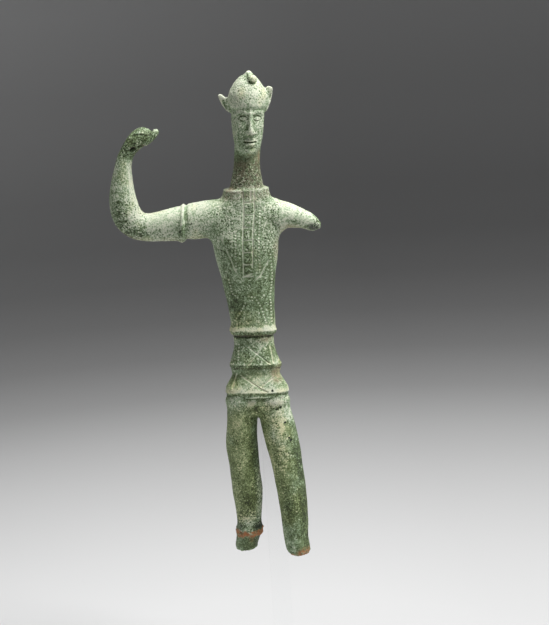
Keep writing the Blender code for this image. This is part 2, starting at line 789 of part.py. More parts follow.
def build_foot(group, cutters, profile):
    """Make the foot, with a square socket that takes the end of the bar."""
    foot = box("clear_display_foot", group, (-FOOT_WIDTH / 2, -FOOT_DEPTH / 2, 0.0),
               (FOOT_WIDTH / 2, FOOT_DEPTH / 2, FOOT_THICKNESS))
    chamfer(foot, FOOT_CHAMFER)
    front = profile[0][0] - FIT_GAP
    back = profile[1][0] + FIT_GAP
    half = BAR_WIDTH / 2 + FIT_GAP
    socket = box("bar_socket", cutters, (BAR_CENTRE_X - half, front, FOOT_THICKNESS - SOCKET_DEPTH),
                 (BAR_CENTRE_X + half, back, FOOT_THICKNESS + SOCKET_DEPTH))
    socket.hide_render = True
    socket.display_type = "WIRE"
    cut = foot.modifiers.new("socket", "BOOLEAN")
    cut.object = socket
    cut.operation = "DIFFERENCE"
    cut.solver = "EXACT"
    foot.data.materials.append(material("clear foot plastic", CLEAR_PLASTIC))
    return foot


def main():
    """Build the statuette and its stand."""
    clear_scene()
    group = collection("bronze_warrior_statuette", bpy.context.scene.collection)
    cutters = collection("cutters", bpy.context.scene.collection)
    line_cutters = collection("line_cutters", cutters)
    figure = build_figure(group, line_cutters)
    tree = BVHTree.FromObject(figure, bpy.context.evaluated_depsgraph_get())
    profile = bar_profile(tree)
    build_bar(group, profile)
    build_foot(group, cutters, profile)


main()
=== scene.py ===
import math

import bmesh
import bpy
import numpy as np
from mathutils import Matrix, Vector, noise


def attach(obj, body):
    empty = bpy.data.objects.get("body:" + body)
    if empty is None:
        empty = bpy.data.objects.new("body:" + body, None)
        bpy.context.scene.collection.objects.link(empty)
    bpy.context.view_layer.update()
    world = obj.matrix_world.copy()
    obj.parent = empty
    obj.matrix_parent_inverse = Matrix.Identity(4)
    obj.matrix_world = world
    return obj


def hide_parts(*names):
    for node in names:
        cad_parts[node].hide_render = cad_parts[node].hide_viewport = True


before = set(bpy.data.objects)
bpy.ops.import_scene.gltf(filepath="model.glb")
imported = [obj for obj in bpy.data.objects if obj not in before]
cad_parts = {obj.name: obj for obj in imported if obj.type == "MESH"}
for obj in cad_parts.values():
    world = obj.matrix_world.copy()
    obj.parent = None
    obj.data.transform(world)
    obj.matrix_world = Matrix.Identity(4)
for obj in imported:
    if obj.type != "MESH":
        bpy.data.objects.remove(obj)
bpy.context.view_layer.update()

# Heights in the tables below are in millimetres over the figure's own datum, which lies this far
# over the surface that the stand rests on.
MM = 0.001
DATUM = 67.1

# How finely the bronze's skin is worked, in millimetres, how many triangles its richly worked and
# its plain places may keep, and how far from a cut mark no triangle is taken away.
SKIN_GRAIN = 0.27
WORKED_TRIANGLES = 84000
PLAIN_TRIANGLES = 88000
KEPT_BESIDE_MARKS = 0.45

# How often the skin is smoothed in its plain stretches and all over.
PLAIN_PASSES = 48
ALL_PASSES = 6

# Stretches of the figure as seen from the front, as x from and to and z from and to.
FAR = 999.0
SKIRT = (-20.0, 20.0, 76.0, 122.0)
SLEEVE_END = (-36.0, -20.0, 150.0, FAR)
RAISED_ARM = (-FAR, -12.0, 140.0, FAR)
BROKEN_ARM = (12.0, FAR, 140.0, 190.0)
BROKEN_ARM_END = (29.0, FAR, 150.0, FAR)
LEFT_ANKLE = (-FAR, 3.0, -FAR, 25.0)
BAND = (-FAR, FAR, 141.0, 175.0)
# Those that carry the finest work, and how far to the back the body and the hand may face there.
WORKED_BODY = (-14.0, 20.0, 79.0, FAR)
WORKED_HAND = (-FAR, -34.0, 195.0, FAR)
WORKED_BREAK = (27.0, FAR, 150.0, FAR)
BODY_FACES_BACK = 0.15
HAND_FACES_BACK = 0.3
# Those that are plain, and are smoothed the most.
PLAIN_STRETCHES = {
    "legs": (-FAR, FAR, 19.0, 78.0),
    "torso": (-20.0, 20.0, 118.5, 172.0),
    "neck": (-10.0, 14.0, 183.0, 199.0),
    "raised arm": (-FAR, -31.5, -FAR, 196.0),
    "its outer side": (-FAR, -52.5, -FAR, FAR),
    "broken arm": (13.0, 30.0, 140.0, 180.0),
    "sleeve": (-26.5, -8.0, 150.0, 180.0),
}
# Those that are plain on the front alone: under the collar, and the skirt's two tiers by their level.
PLAIN_COLLAR = (-2.8, 7.2, 171.0, 178.4)
PLAIN_TIERS = ((99.8, 109.0), (87.2, 93.6))

# From and to what lean towards the front the things come in that only the front has.
FRONT_STARTS = {"marks": (0.05, 0.35), "face": (0.0, 0.35), "knob": (0.0, 0.40), "powder": (0.0, 0.30)}

# An oval room is full up to this share of its size, and fades from there to its edge.
ROOM_CORE = 0.35

# The head's own frame, as the solid has it: its middle, its lean and its turn, and how high the nose's
# foot, the brow and the mouth lie in it.
HEAD_CENTRE = (4.2, -0.2, 213.0)
HEAD_LEAN = math.radians(4.5)
HEAD_TURN = math.radians(10.0)
NOSE_FOOT = -7.35
BROW = 2.8
MOUTH = -10.73

# The ladder band down the tunic's front with its rungs, and the single lines of collar, breast and
# skirt, all as x and z.
BAND_LEFT = ((-0.3, 180.0), (-0.4, 171.4), (-1.9, 157.2), (-2.6, 140.1))
BAND_RIGHT = ((4.7, 175.6), (4.5, 170.5), (3.8, 166.0), (2.9, 160.0), (2.6, 154.0), (1.8, 144.6))
BAND_RUNGS = 7
BAND_TOP = 174.7
BAND_PITCH = 5.72
BAND_FOOT = ((-2.8, 140.4), (1.6, 141.8))
COLLAR_TICKS = (((3.3, 180.0), (3.1, 176.3)), ((5.0, 179.9), (4.9, 176.2)))
BREAST_LINES = (
    ((-12.0, 159.6), (-9.6, 153.2), (-7.9, 148.6), (-6.6, 144.1), (-4.9, 141.0), (-2.6, 138.6)),
    ((9.5, 147.4), (7.6, 144.5), (5.3, 140.4), (1.8, 137.6)),
)
SKIRT_LINES = (
    ((-4.6, 108.2), (6.9, 98.2)),
    ((4.4, 107.0), (-3.9, 97.5)),
    ((7.4, 106.2), (8.6, 98.4)),
    ((-7.2, 93.2), (1.4, 87.1), (5.0, 85.0)),
    ((-9.1, 93.8), (-11.6, 86.8)),
    ((7.5, 91.0), (2.0, 87.6)),
)

# How lines and dots are cut: half width, depth and the height of the lip that the cut throws up.
# The lip stands so many half widths from the middle, is so many wide and ends at so many.
LINE_CUT = (0.42, 0.24, 0.10)
DOT_CUT = (0.52, 0.30, 0.08)
HAND_CUT = (0.75, 0.25, 0.05)
LID_CUT = (0.42, 0.26, 0.10)
MOUTH_CUT = (0.50, 0.38, 0.10)
NOSTRIL_CUT = (0.55, 0.45, 0.0)
LIP_PLACE = 1.35
LIP_WIDTH = 0.35
LIP_END = 2.4

# How far from a mark its distance is worked out, for the front's lines and dots.
LINE_REACH = 1.5
DOT_REACH = 1.6
HAND_REACH = 2.0

# Rows of punched dots on the tunic and skirt, as x and z along each row.
DOT_ROWS = (
    ((-4.8, 160.2), (-5.4, 150.9), (-5.9, 143.9)),
    ((6.9, 171.1), (6.3, 161.8), (5.6, 152.6), (4.9, 142.3)),
    ((10.7, 149.8), (10.5, 140.4), (9.2, 130.5), (9.4, 124.5), (9.0, 117.7)),
    ((-9.9, 139.4), (-8.5, 132.7), (-5.4, 130.1)),
    ((-2.8, 128.0), (-4.4, 124.8), (-6.3, 121.6), (-8.1, 118.9)),
    ((-0.6, 130.9), (2.2, 130.3), (4.2, 126.0), (6.4, 117.8)),
    ((-7.3, 108.0), (-8.0, 98.6)),
)
DOT_PITCH = 1.45
# How far a dot strays, how fast that changes from dot to dot, and what a distance to the side counts
# against one upwards, which makes dots a little wider than high.
DOT_STRAY = 0.22
DOT_STRAY_CHANGE = 12.9
DOT_WIDENING = 0.8

# Grooves of the raised hand, as x and z.
HAND_LINES = (
    ((-48.2, 208.4), (-45.4, 208.9), (-42.9, 207.9)),
    ((-41.4, 204.2), (-40.8, 206.4), (-40.2, 208.6)),
)

# Hollows pressed into the front, as x, z, half width, half height, turn in degrees and depth, and from
# and to what share of their size they fade.
HOLLOW_FADES = (0.2, 1.0)
FRONT_HOLLOWS = (
    (-49.3, 202.2, 2.3, 1.5, 4.0, 1.7),
    (-46.0, 203.2, 2.4, 0.7, 14.0, 1.0),
    (-6.4, 220.0, 1.5, 3.0, 22.0, 0.6),
    (15.1, 221.7, 1.2, 3.0, -12.0, 0.5),
)

# Single deep holes in the front, as x, z and radius, how deep they are, and from and to what share of
# their radius they fade.
HOLE_DEPTH = 0.45
HOLE_FADES = (0.3, 1.1)
HOLES = ((7.1, 85.5, 0.6), (14.4, 61.0, 0.7), (13.6, 62.2, 0.5), (12.1, 69.6, 0.6), (10.3, 77.1, 0.6),
         (8.6, 76.4, 0.5), (-25.0, 166.5, 0.4))

# The knob on the crest, as x, z, half width, half height, turn in degrees and how far it stands out,
# and from and to what share of its size it falls off. The groove along its lower right has its depth
# against that, its place and width in sizes of the knob, and the distances over which it comes in.
# Both end at the crest's foot.
KNOB = (7.4, 231.4, 1.9, 2.5, 32.0, 0.42)
KNOB_EDGE = (0.65, 1.1)
KNOB_GROOVE = (0.8, 1.25, 0.2)
KNOB_GROOVE_STARTS = (-0.5, 1.0)
CREST_FOOT = 224.0

# The three rings of the skirt: how high each one's edge and its foot are in front, how deep the
# groove under the foot goes, how much the next tier's top is filled out under that, and how strong
# the painted highlight on the edge's top is. They tilt, falling to the figure's left and to the back.
RINGS = ((113.5, 111.0, 0.45, 0.0, 0.48), (97.4, 95.5, 0.35, 0.30, 0.10), (84.1, 82.4, 0.0, 0.0, 0.20))
RING_FALL_LEFT = 0.045
RING_FALL_BACK = 0.10
# How far a ring's edge is drawn out and over what width, and how far under its foot the groove and
# the filling lie and over what width.
RING_EDGE = (0.20, 0.5)
RING_GROOVE = (0.3, 0.5)
RING_FILLING = (1.8, 1.3)
# Painted shade under a ring's edge: how strong it is, and over what heights it starts at the edge and
# ends at the foot. The painted highlight on the edge's top lies this far up, over this width.
RING_SHADE = (0.28, (0.2, -0.6), (0.2, -0.5))
RING_HIGHLIGHT = (0.7, 0.8)

# How much the hem's ends curve up from its middle, how far its middle hangs and how far out its ends
# are, and over what heights and depths the curve comes in and fades.
HEM_CURVE = (1.4, 0.3, 14.0)
HEM_STARTS = (76.0, 81.0)
HEM_FADES = (87.0, 93.0)
HEM_FADES_BACK = (-1.0, 4.0)
SKIRT_SIDE = 20.0

# The notch between the hem and the body under it, which is filled out: from and to what height, how
# far to each side and from what depth on, how far up and down it looks for what stands proud, and
# how deep it stays.
HEM_NOTCH = (77.5, 84.5, 12.0, -4.0, 1.8, 0.08)
NOTCH_GRID = 0.25

# The thighs' tops, which swell out under the hem: height, half height, how far and up to where, and
# from and to what lean up or down they do so less.
THIGH_SWELL = (79.6, 2.6, 0.9, 83.0)
THIGH_LEAN = (0.3, 0.8)

# The under corner of the broken arm's end, which is broken away: middle, half sizes and depth, and
# from and to what lean downwards it comes in.
STUMP_CORNER = ((33.8, -2.0, 157.6), (3.4, 7.0, 2.6), 0.9)
STUMP_LEAN = (-0.2, 0.5)

# The collar's rim and the groove over it: height, half width and how far they stand out, and how far
# they reach to each side.
COLLAR_RIM = ((180.2, 0.6, 0.22), (182.3, 0.8, -0.25))
COLLAR_SIDE = 14.0

# The neck's middle, as x.
NECK_MIDDLE = 2.0

# The edge of the raised arm's sleeve: the ring and the groove beside it, as x and z at their tops
# and feet, how far they stand out and their half width.
SLEEVE_EDGE = (
    (((-29.0, 176.5), (-29.9, 158.0)), 0.08, 0.7),
    (((-27.1, 176.5), (-27.9, 158.0)), -0.5, 0.8),
)

# Soft noises worked into the surface or the powder: size in millimetres, seed and octaves.
NOISES = {
    "swells": (7.0, 1.0, 1),
    "grit": (1.5, 2.0, 3),
    "crater patches": (9.0, 3.0, 1),
    "rough break": (1.5, 4.0, 3),
    "ragged powder": (1.5, 7.0, 3),
    "wavy ring": (2.2, 8.0, 2),
    "wavy rust": (2.6, 9.0, 3),
    "wear": (2.4, 10.0, 1),
}
# How far a seed shifts a noise, how fast its finer octaves fade, and how much finer each one is.
NOISE_SHIFT = (17.3, 5.1, 9.7)
NOISE_FADE = 0.9
NOISE_FINER = 2.0

# Scattered pits: how far apart, their seed, and how far from its middle each one's floor and rim are.
# A seed shifts them, and craters lie in patches that come in over these values of a noise.
SMALL_PITS = (1.45, 1.0, 0.10, 0.52)
CRATERS = (4.6, 2.0, 0.15, 0.65)
PIT_SHIFT = (3.7, 11.3, 7.9)
CRATER_PATCHES = (-0.1, 0.3)

# How far all these move the surface, in millimetres. A break is also worn down a little.
SWELL_HEIGHT = 0.16
GRIT_HEIGHT = 0.05
PIT_DEPTH = 0.17
CRATER_DEPTH = 0.30
BREAK_HEIGHT = 0.55
BREAK_WEAR = 0.10

# The breaks: the arm's end as a middle and half sizes, the ankle's as a height and half height, and
# the legs' ends as the heights over which they fade, with how rough they are.
ARM_BREAK = ((33.0, -2.5, 160.5), (5.0, 6.0, 4.6))
ANKLE_BREAK = (15.2, 2.6)
LEG_ENDS = (6.5, 9.5)
LEG_END_ROUGHNESS = 0.8


def evaluated(thing):
    """Return the mesh that an object's modifiers make, as a mesh of its own."""
    graph = bpy.context.evaluated_depsgraph_get()
    return bpy.data.meshes.new_from_object(thing.evaluated_get(graph))


def linked(name, mesh):
    """Put a mesh into the scene."""
    made = bpy.data.objects.new(name, mesh)
    bpy.context.scene.collection.objects.link(made)
    return made


def places(mesh):
    """Give the mesh's points in millimetres over the figure's datum."""
    flat = np.empty(len(mesh.vertices) * 3)
    mesh.vertices.foreach_get("co", flat)
    place = flat.reshape(-1, 3) / MM
    place[:, 2] -= DATUM
    return place


def normals(mesh):
    """Give the direction that the mesh faces at each point."""
    flat = np.empty(len(mesh.vertices) * 3)
    mesh.vertices.foreach_get("normal", flat)
    return flat.reshape(-1, 3)


def moved(mesh, place):
    """Put the mesh's points at places in millimetres over the figure's datum."""
    world = place.copy()
    world[:, 2] += DATUM
    mesh.vertices.foreach_set("co", (world * MM).ravel())
    mesh.update()


def step(low, high, value):
    """Rise smoothly from 0 at low to 1 at high."""
    share = np.clip((value - low) / (high - low), 0.0, 1.0)
    return share * share * (3.0 - 2.0 * share)


def fall(low, high, value):
    """Fall smoothly from 1 at low to 0 at high."""
    return 1.0 - step(low, high, value)


def between(low, high, edge, value):
    """Rise to 1 around low and fall back to 0 around high, each over an edge to both sides."""
    return step(low - edge, low + edge, value) * fall(high - edge, high + edge, value)


def bell(value, middle, width):
    """Rise to 1 at the middle and fall off to both sides."""
    return np.exp(-((value - middle) / width) ** 2)


def inside(place, centre, radii):
    """Fade from 1 at the middle of an oval room to 0 at its edge."""
    away = np.sqrt((((place - np.array(centre)) / np.array(radii)) ** 2).sum(axis=1))
    return fall(ROOM_CORE, 1.0, away)


def oval(x, z, centre_x, centre_z, wide, high, turn=0.0):
    """Give each point's distance from the middle of a turned oval in the front, as 1 on its edge."""
    turned = math.radians(turn)
    across = (x - centre_x) * math.cos(turned) + (z - centre_z) * math.sin(turned)
    up = (z - centre_z) * math.cos(turned) - (x - centre_x) * math.sin(turned)
    return np.hypot(across / wide, up / high)


def within(place, stretch):
    """Say which points lie in a stretch of the figure."""
    x, z = place[:, 0], place[:, 2]
    x_low, x_high, z_low, z_high = stretch
    return (x > x_low) & (x < x_high) & (z > z_low) & (z < z_high)


def band_side(edge, height):
    """Say how far to the side an edge of the ladder band is at each height."""
    return np.interp(height, [z for _, z in edge[::-1]], [x for x, _ in edge[::-1]])


def tunic_lines():
    """List the lines cut into the tunic's front."""
    lines = [BAND_LEFT, BAND_RIGHT, BAND_FOOT]
    for rung in range(BAND_RUNGS):
        height = BAND_TOP - rung * BAND_PITCH
        lines.append(((band_side(BAND_LEFT, height), height), (band_side(BAND_RIGHT, height), height)))
    return lines + list(COLLAR_TICKS) + list(BREAST_LINES)


def near_lines(x, z, lines, reach):
    """Give each point's distance from the nearest of some lines, and reach where none is near."""
    away = np.full(len(x), reach)
    for line in lines:
        for (x0, z0), (x1, z1) in zip(line, line[1:]):
            close = np.nonzero((x > min(x0, x1) - reach) & (x < max(x0, x1) + reach)
                               & (z > min(z0, z1) - reach) & (z < max(z0, z1) + reach))[0]
            along_x, along_z = x1 - x0, z1 - z0
            share = ((x[close] - x0) * along_x + (z[close] - z0) * along_z) / (along_x ** 2 + along_z ** 2)
            share = np.clip(share, 0.0, 1.0)
            gap = np.hypot(x[close] - x0 - share * along_x, z[close] - z0 - share * along_z)
            away[close] = np.minimum(away[close], gap)
    return away


def row_of_dots(row, pitch):
    """Space dots along a row of x and z, as a hand does, a little off the line."""
    dots = []
    left_over = 0.0
    for (x0, z0), (x1, z1) in zip(row, row[1:]):
        length = math.hypot(x1 - x0, z1 - z0)
        at = left_over
        while at < length:
            shaken = DOT_STRAY * math.sin(DOT_STRAY_CHANGE * len(dots) + row[0][1])
            dots.append((x0 + (x1 - x0) * at / length + shaken, z0 + (z1 - z0) * at / length - shaken))
            at += pitch
        left_over = at - length
    return dots


def near_dots(x, z, dots, reach):
    """Give each point's distance from the nearest dot, and reach where none is near."""
    away = np.full(len(x), reach)
    for dot_x, dot_z in dots:
        close = np.nonzero((abs(x - dot_x) < reach) & (abs(z - dot_z) < reach))[0]
        gap = np.hypot(DOT_WIDENING * (x[close] - dot_x), z[close] - dot_z)
        away[close] = np.minimum(away[close], gap)
    return away


def hem_curve(place):
    """Say how far each point of the hem moves up, to hang lower in the middle than at its ends."""
    x, y, z = place.T
    near = step(*HEM_STARTS, z) * fall(*HEM_FADES, z) * fall(*HEM_FADES_BACK, y) * (abs(x) < SKIRT_SIDE)
    ends_up, middle_down, end = HEM_CURVE
    return near * (ends_up * np.minimum(abs(x) / end, 1.0) ** 2 - middle_down)


def notch_fill(place):
    """Say how far each point of the notch under the hem moves forwards."""
    x, y, z = place.T
    low, high, side, front, reach, deep = HEM_NOTCH
    near = np.nonzero((abs(x) < side) & (z > low) & (z < high) & (y < front))[0]
    column = ((x[near] + side) / (2 * NOTCH_GRID)).astype(int)
    row = ((z[near] - low) / NOTCH_GRID).astype(int)
    proud = np.full((column.max() + 1, row.max() + 1), -np.inf)
    np.maximum.at(proud, (column, row), -y[near])
    rows = proud.shape[1]
    span = int(reach / NOTCH_GRID)
    filled = proud.copy()
    for at in range(1, rows - 1):
        under = proud[:, max(0, at - span):at].max(axis=1)
        over = proud[:, at + 1:at + 1 + span].max(axis=1)
        filled[:, at] = np.minimum(under, over)
    forwards = np.zeros(len(x))
    forwards[near] = np.maximum(0.0, filled[column, row] - deep + y[near])
    return forwards


def groove(away, half_width, depth, lip):
    """Turn distance from a line into a cut with a small raised lip on both sides."""
    cut = depth * fall(0.0, half_width, away)
    raised = lip * bell(away, LIP_PLACE * half_width, LIP_WIDTH * half_width)
    return cut - raised * (away < LIP_END * half_width)


def grain(place, name):
    """Give one of the soft noises at each point."""
    size, seed, octaves = NOISES[name]
    shift = Vector([seed * by for by in NOISE_SHIFT])
    spots = [Vector(point) / size + shift for point in place]
    if octaves == 1:
        return np.array([noise.noise(spot) for spot in spots])
    return np.array([noise.fractal(spot, NOISE_FADE, NOISE_FINER, octaves) for spot in spots])


def pitted(place, kind):
    """Fade from 1 in the middle of each of some scattered pits to 0 at its rim."""
    pitch, seed, floor, rim = kind
    shift = Vector([seed * by for by in PIT_SHIFT])
    away = np.array([noise.voronoi(Vector(point) / pitch + shift)[0][0] for point in place]) * pitch
    return fall(floor, rim, away)


def head_turned():
    """Give the head's lean and turn."""
    return Matrix.Rotation(HEAD_LEAN, 3, "Y") @ Matrix.Rotation(HEAD_TURN, 3, "Z")


def head_places(place):
    """Give places in the head's own frame."""
    return (place - np.array(HEAD_CENTRE)) @ np.array(head_turned())


# A calm, plain face: lid lines, mouth and nostrils, drawn for one side and mirrored.
LID_LINES = (
    ((1.3, 0.1), (2.2, 1.0), (3.4, 1.3), (4.6, 0.9), (5.5, 0.0)),
    ((1.4, -0.2), (2.3, -0.9), (3.4, -1.1), (4.5, -0.8), (5.4, -0.1)),
)
BROW_LINE = ((1.2, BROW - 0.5), (3.0, BROW + 0.5), (5.0, BROW + 0.2), (6.4, BROW - 1.2))
MOUTH_LINE = ((-2.6, MOUTH + 0.1), (-1.0, MOUTH - 0.05), (0.0, MOUTH - 0.15), (1.0, MOUTH - 0.05),
              (2.6, MOUTH + 0.1))
NOSTRIL_DOTS = ((0.75, NOSE_FOOT + 0.1),)
# How far the brows stand out and how wide they are, how high the face is from its middle, and how
# far from a line of the face its distance is worked out.
BROW_RIDGE = (0.30, 0.7)
FACE_HALF_HEIGHT = 17.0
FACE_REACH = 1.5
BROW_REACH = 2.5
NOSTRIL_REACH = 1.2


def face_relief(place, facing):
    """Cut the fine lines of the face."""
    own = head_places(place)
    turned = facing @ np.array(head_turned())
    front = step(*FRONT_STARTS["face"], -turned[:, 1]) * (own[:, 1] < 0.0)
    front *= abs(own[:, 2]) < FACE_HALF_HEIGHT
    x = abs(own[:, 0])
    z = own[:, 2]
    rise = -groove(near_lines(x, z, LID_LINES, FACE_REACH), *LID_CUT)
    proud, width = BROW_RIDGE
    rise += proud * bell(near_lines(x, z, (BROW_LINE,), BROW_REACH), 0.0, width)
    rise -= groove(near_lines(own[:, 0], z, (MOUTH_LINE,), FACE_REACH), *MOUTH_CUT)
    rise -= groove(near_dots(x, z, NOSTRIL_DOTS, NOSTRIL_REACH), *NOSTRIL_CUT)
    return rise * front


def ring_level(place):
    """Say how high each point is in the skirt's own tilted measure."""
    return place[:, 2] + RING_FALL_LEFT * place[:, 0] + RING_FALL_BACK * place[:, 1]


def smoothed(piece):
    """Take the facets off the skin, most of all where the form is plain."""
    place = places(piece.data)
    level = ring_level(place)
    plain = within(place, PLAIN_COLLAR)
    for low, high in PLAIN_TIERS:
        plain |= (level > low) & (level < high)
    plain &= place[:, 1] < 0.0
    for stretch in PLAIN_STRETCHES.values():
        plain |= within(place, stretch)
    group = piece.vertex_groups.new(name="plain")
    group.add(np.nonzero(plain)[0].tolist(), 1.0, "REPLACE")
    for passes, where in ((PLAIN_PASSES, "plain"), (ALL_PASSES, "")):
        relax = piece.modifiers.new("relax", "SMOOTH")
        relax.factor = 0.5
        relax.iterations = passes
        relax.vertex_group = where
    piece.data = evaluated(piece)
    piece.modifiers.clear()
    piece.vertex_groups.clear()


def front_marks(place, facing):
    """Say how far each point is from a line and from a dot cut in the front, and if it faces front."""
    x, z = place[:, 0], place[:, 2]
    front = step(*FRONT_STARTS["marks"], -facing[:, 1])
    lines_away = near_lines(x, z, tunic_lines() + list(SKIRT_LINES), LINE_REACH)
    dots = [dot for row in DOT_ROWS for dot in row_of_dots(row, DOT_PITCH)]
    dots_away = near_dots(x, z, dots, DOT_REACH)
    faces = front > 0.0
    return np.where(faces, lines_away, LINE_REACH), np.where(faces, dots_away, DOT_REACH), front


# How rough and pitted the crust is, by zones: x from and to, z from and to, and how rough.
CRUST_ZONES = (
    (-14.0, 17.0, 148.0, 174.0, 0.85),
    (-14.0, 17.0, 117.0, 148.0, 0.52),
    (-14.0, 15.0, 96.0, 117.0, 0.60),
    (-14.0, 15.0, 84.0, 94.0, 0.32),
    (2.0, 14.0, 76.0, 82.0, 0.9),
    (-28.0, -14.0, 150.0, 171.0, 0.65),
    (-46.0, -28.0, 150.0, 166.0, 0.75),
    (-64.0, -46.0, 150.0, 180.0, 0.9),
    (-64.0, -46.0, 180.0, 200.0, 0.55),
    (17.0, 36.0, 150.0, 178.0, 0.45),
    (-10.0, 13.0, 174.0, 191.0, 1.0),
    (-6.0, 18.0, 198.0, 219.0, 0.50),
    (-6.0, 18.0, 219.0, 240.0, 0.75),
    (-14.0, 24.0, 15.0, 84.0, 0.40),
    (-60.0, -34.0, 198.0, 214.0, 0.70),
    (4.0, 14.0, 48.0, 78.0, 0.65),
    (-4.0, 1.0, 22.0, 48.0, 1.0),
    (-14.0, -2.0, 17.0, 27.0, 1.0),
)
PLAIN_CRUST = 0.25
ZONE_EDGE = 3.0


def stippled(place):
    """Say how rough and pitted the crust is at each point."""
    x, z = place[:, 0], place[:, 2]
    amount = np.full(len(x), PLAIN_CRUST)
    for x_low, x_high, z_low, z_high, rough in CRUST_ZONES:
        zone = between(x_low, x_high, ZONE_EDGE, x) * between(z_low, z_high, ZONE_EDGE, z)
        amount = np.maximum(amount, PLAIN_CRUST + (rough - PLAIN_CRUST) * zone)
    return amount


def broken(place):
    """Say how rough a break is at each point: the broken arm's end, the left ankle and the legs' ends."""
    z = place[:, 2]
    arm = inside(place, *ARM_BREAK)
    ankle = bell(z, *ANKLE_BREAK) * within(place, LEFT_ANKLE)
    return np.maximum(np.maximum(arm, ankle), LEG_END_ROUGHNESS * fall(*LEG_ENDS, z))


def edged(place, facing):
    """Sharpen the skirt's rings, the sleeve's ring, the collar and the crest's knob."""
    x, z = place[:, 0], place[:, 2]
    level = ring_level(place)
    skirt = within(place, SKIRT)
    drawn, edge_width = RING_EDGE
    groove_under, groove_width = RING_GROOVE
    filled_under, filled_width = RING_FILLING
    rise = np.zeros(len(x))
    for edge, foot, depth, filling, _ in RINGS:
        rise += skirt * (drawn * bell(level, edge, edge_width)
                         - depth * bell(level, foot - groove_under, groove_width)
                         + filling * bell(level, foot - filled_under, filled_width))
    middle, high, swell, top = THIGH_SWELL
    hem_foot = RINGS[-1][1]
    sideways = fall(*THIGH_LEAN, abs(facing[:, 2]))
    rise += swell * bell(level, middle, high) * sideways * (level < hem_foot) * (z < top)
    sleeve = within(place, SLEEVE_END)
    for ((x_top, z_top), (x_foot, z_foot)), proud, width in SLEEVE_EDGE:
        across = x - x_foot - (z - z_foot) * (x_top - x_foot) / (z_top - z_foot)
        rise += sleeve * proud * bell(across, 0.0, width)
    centre, radii, deep = STUMP_CORNER
    rise -= deep * inside(place, centre, radii) * step(*STUMP_LEAN, -facing[:, 2])
    collar = abs(x - NECK_MIDDLE) < COLLAR_SIDE
    rise += collar * sum(proud * bell(z, height, width) for height, width, proud in COLLAR_RIM)
    knob_x, knob_z, wide, high, turn, proud = KNOB
    groove_deep, groove_away, groove_width = KNOB_GROOVE
    front = step(*FRONT_STARTS["knob"], -facing[:, 1])
    away = oval(x, z, knob_x, knob_z, wide, high, turn)
    below = step(*KNOB_GROOVE_STARTS, x - knob_x - z + knob_z)
    knob = fall(*KNOB_EDGE, away) - groove_deep * below * bell(away, groove_away, groove_width)
    return rise + front * (z > CREST_FOOT) * proud * knob


def worked(mesh):
    """Carve the lines, dots, hollows, breaks and corrosion into the skin."""
    place = places(mesh)
    place[:, 2] += hem_curve(place)
    facing = normals(mesh)
    x, z = place[:, 0], place[:, 2]
    line_away, dot_away, front = front_marks(place, facing)
    rise = -groove(line_away, *LINE_CUT) * front
    rise -= groove(dot_away, *DOT_CUT) * front
    rise -= groove(near_lines(x, z, HAND_LINES, HAND_REACH), *HAND_CUT) * front
    rise += edged(place, facing)
    for centre_x, centre_z, wide, high, turn, depth in FRONT_HOLLOWS:
        rise -= depth * fall(*HOLLOW_FADES, oval(x, z, centre_x, centre_z, wide, high, turn)) * front
    for hole_x, hole_z, radius in HOLES:
        rise -= HOLE_DEPTH * fall(*HOLE_FADES, oval(x, z, hole_x, hole_z, radius, radius)) * front
    rise += face_relief(place, facing)
    rise += SWELL_HEIGHT * grain(place, "swells") + GRIT_HEIGHT * grain(place, "grit")
    rise -= PIT_DEPTH * stippled(place) * pitted(place, SMALL_PITS)
    patches = step(*CRATER_PATCHES, grain(place, "crater patches"))
    rise -= CRATER_DEPTH * pitted(place, CRATERS) * patches
    rise += broken(place) * (BREAK_HEIGHT * grain(place, "rough break") - BREAK_WEAR)
    place += facing * rise[:, None]
    place[:, 1] -= notch_fill(place)
    moved(mesh, place)


# How much pale powder lies on the body at each height, and on both arms from their roots out.
BODY_POWDER = ((0.0, 0.14), (12.0, 0.20), (22.0, 0.26), (34.0, 0.22), (60.0, 0.26), (74.0, 0.38),
               (84.0, 0.48), (92.0, 0.41), (104.0, 0.28), (112.0, 0.48), (118.0, 0.46), (126.0, 0.26),
               (145.0, 0.30), (158.0, 0.44), (166.0, 0.52), (178.0, 0.52), (184.0, 0.18), (194.0, 0.18),
               (199.0, 0.46), (216.0, 0.50), (221.0, 0.66), (240.0, 0.62))
ARM_POWDER = ((-62.0, 0.42), (-44.0, 0.62), (-20.0, 0.60), (-12.0, 0.42))
STUMP_POWDER = ((12.0, 0.42), (18.0, 0.60), (31.0, 0.60), (35.0, 0.40))
HAND_POWDER = 0.08
# The most powder there is, and how much less than that on the legs.
MOST_POWDER = 0.80
LESS_ON_LEGS = 0.16

# The hand starts over these heights and ends at this side, and the legs end over these heights.
HAND_STARTS = (194.0, 202.0)
HAND_SIDE = -30.0
LEGS_END = (60.0, 76.0)

# The painted highlight on the inner side of the forearm: from and to what height, with what edge,
# and how far to the right.
FOREARM_HEIGHTS = (175.0, 195.0, 3.0)
FOREARM_SIDE = -40.0

# How much more lies on what leans one way, and from and to what lean that comes in: powder, and
# painted highlights, shade and bounce light by how the lamps fall. What faces up holds more powder
# and a painted highlight from a certain height on.
LEANS = {
    "powder and painted highlight facing up": (0.06, 0.35, 0.95),
    "less powder and painted shade facing down": (-0.15, 0.30, 0.90),
    "painted highlight inside the forearm": (0.30, 0.45, 0.90),
    "powder on the arm's break": (-0.40, 0.5, 0.9),
    "painted light on the legs' left": (0.10, 0.3, 0.8),
    "painted shade on the legs' right": (-0.16, 0.3, 0.8),
    "painted bounce light underneath": (0.45, 0.45, 0.95),
    "bluer on the right": (1.0, 0.3, 0.8),
}
UPWARD_POWDER_AND_HIGHLIGHT_FROM = 30.0

# How ragged the patches of powder are, and from and to what share of their size they fade.
RAGGED = 0.6
PATCH_FADES = (0.50, 0.95)
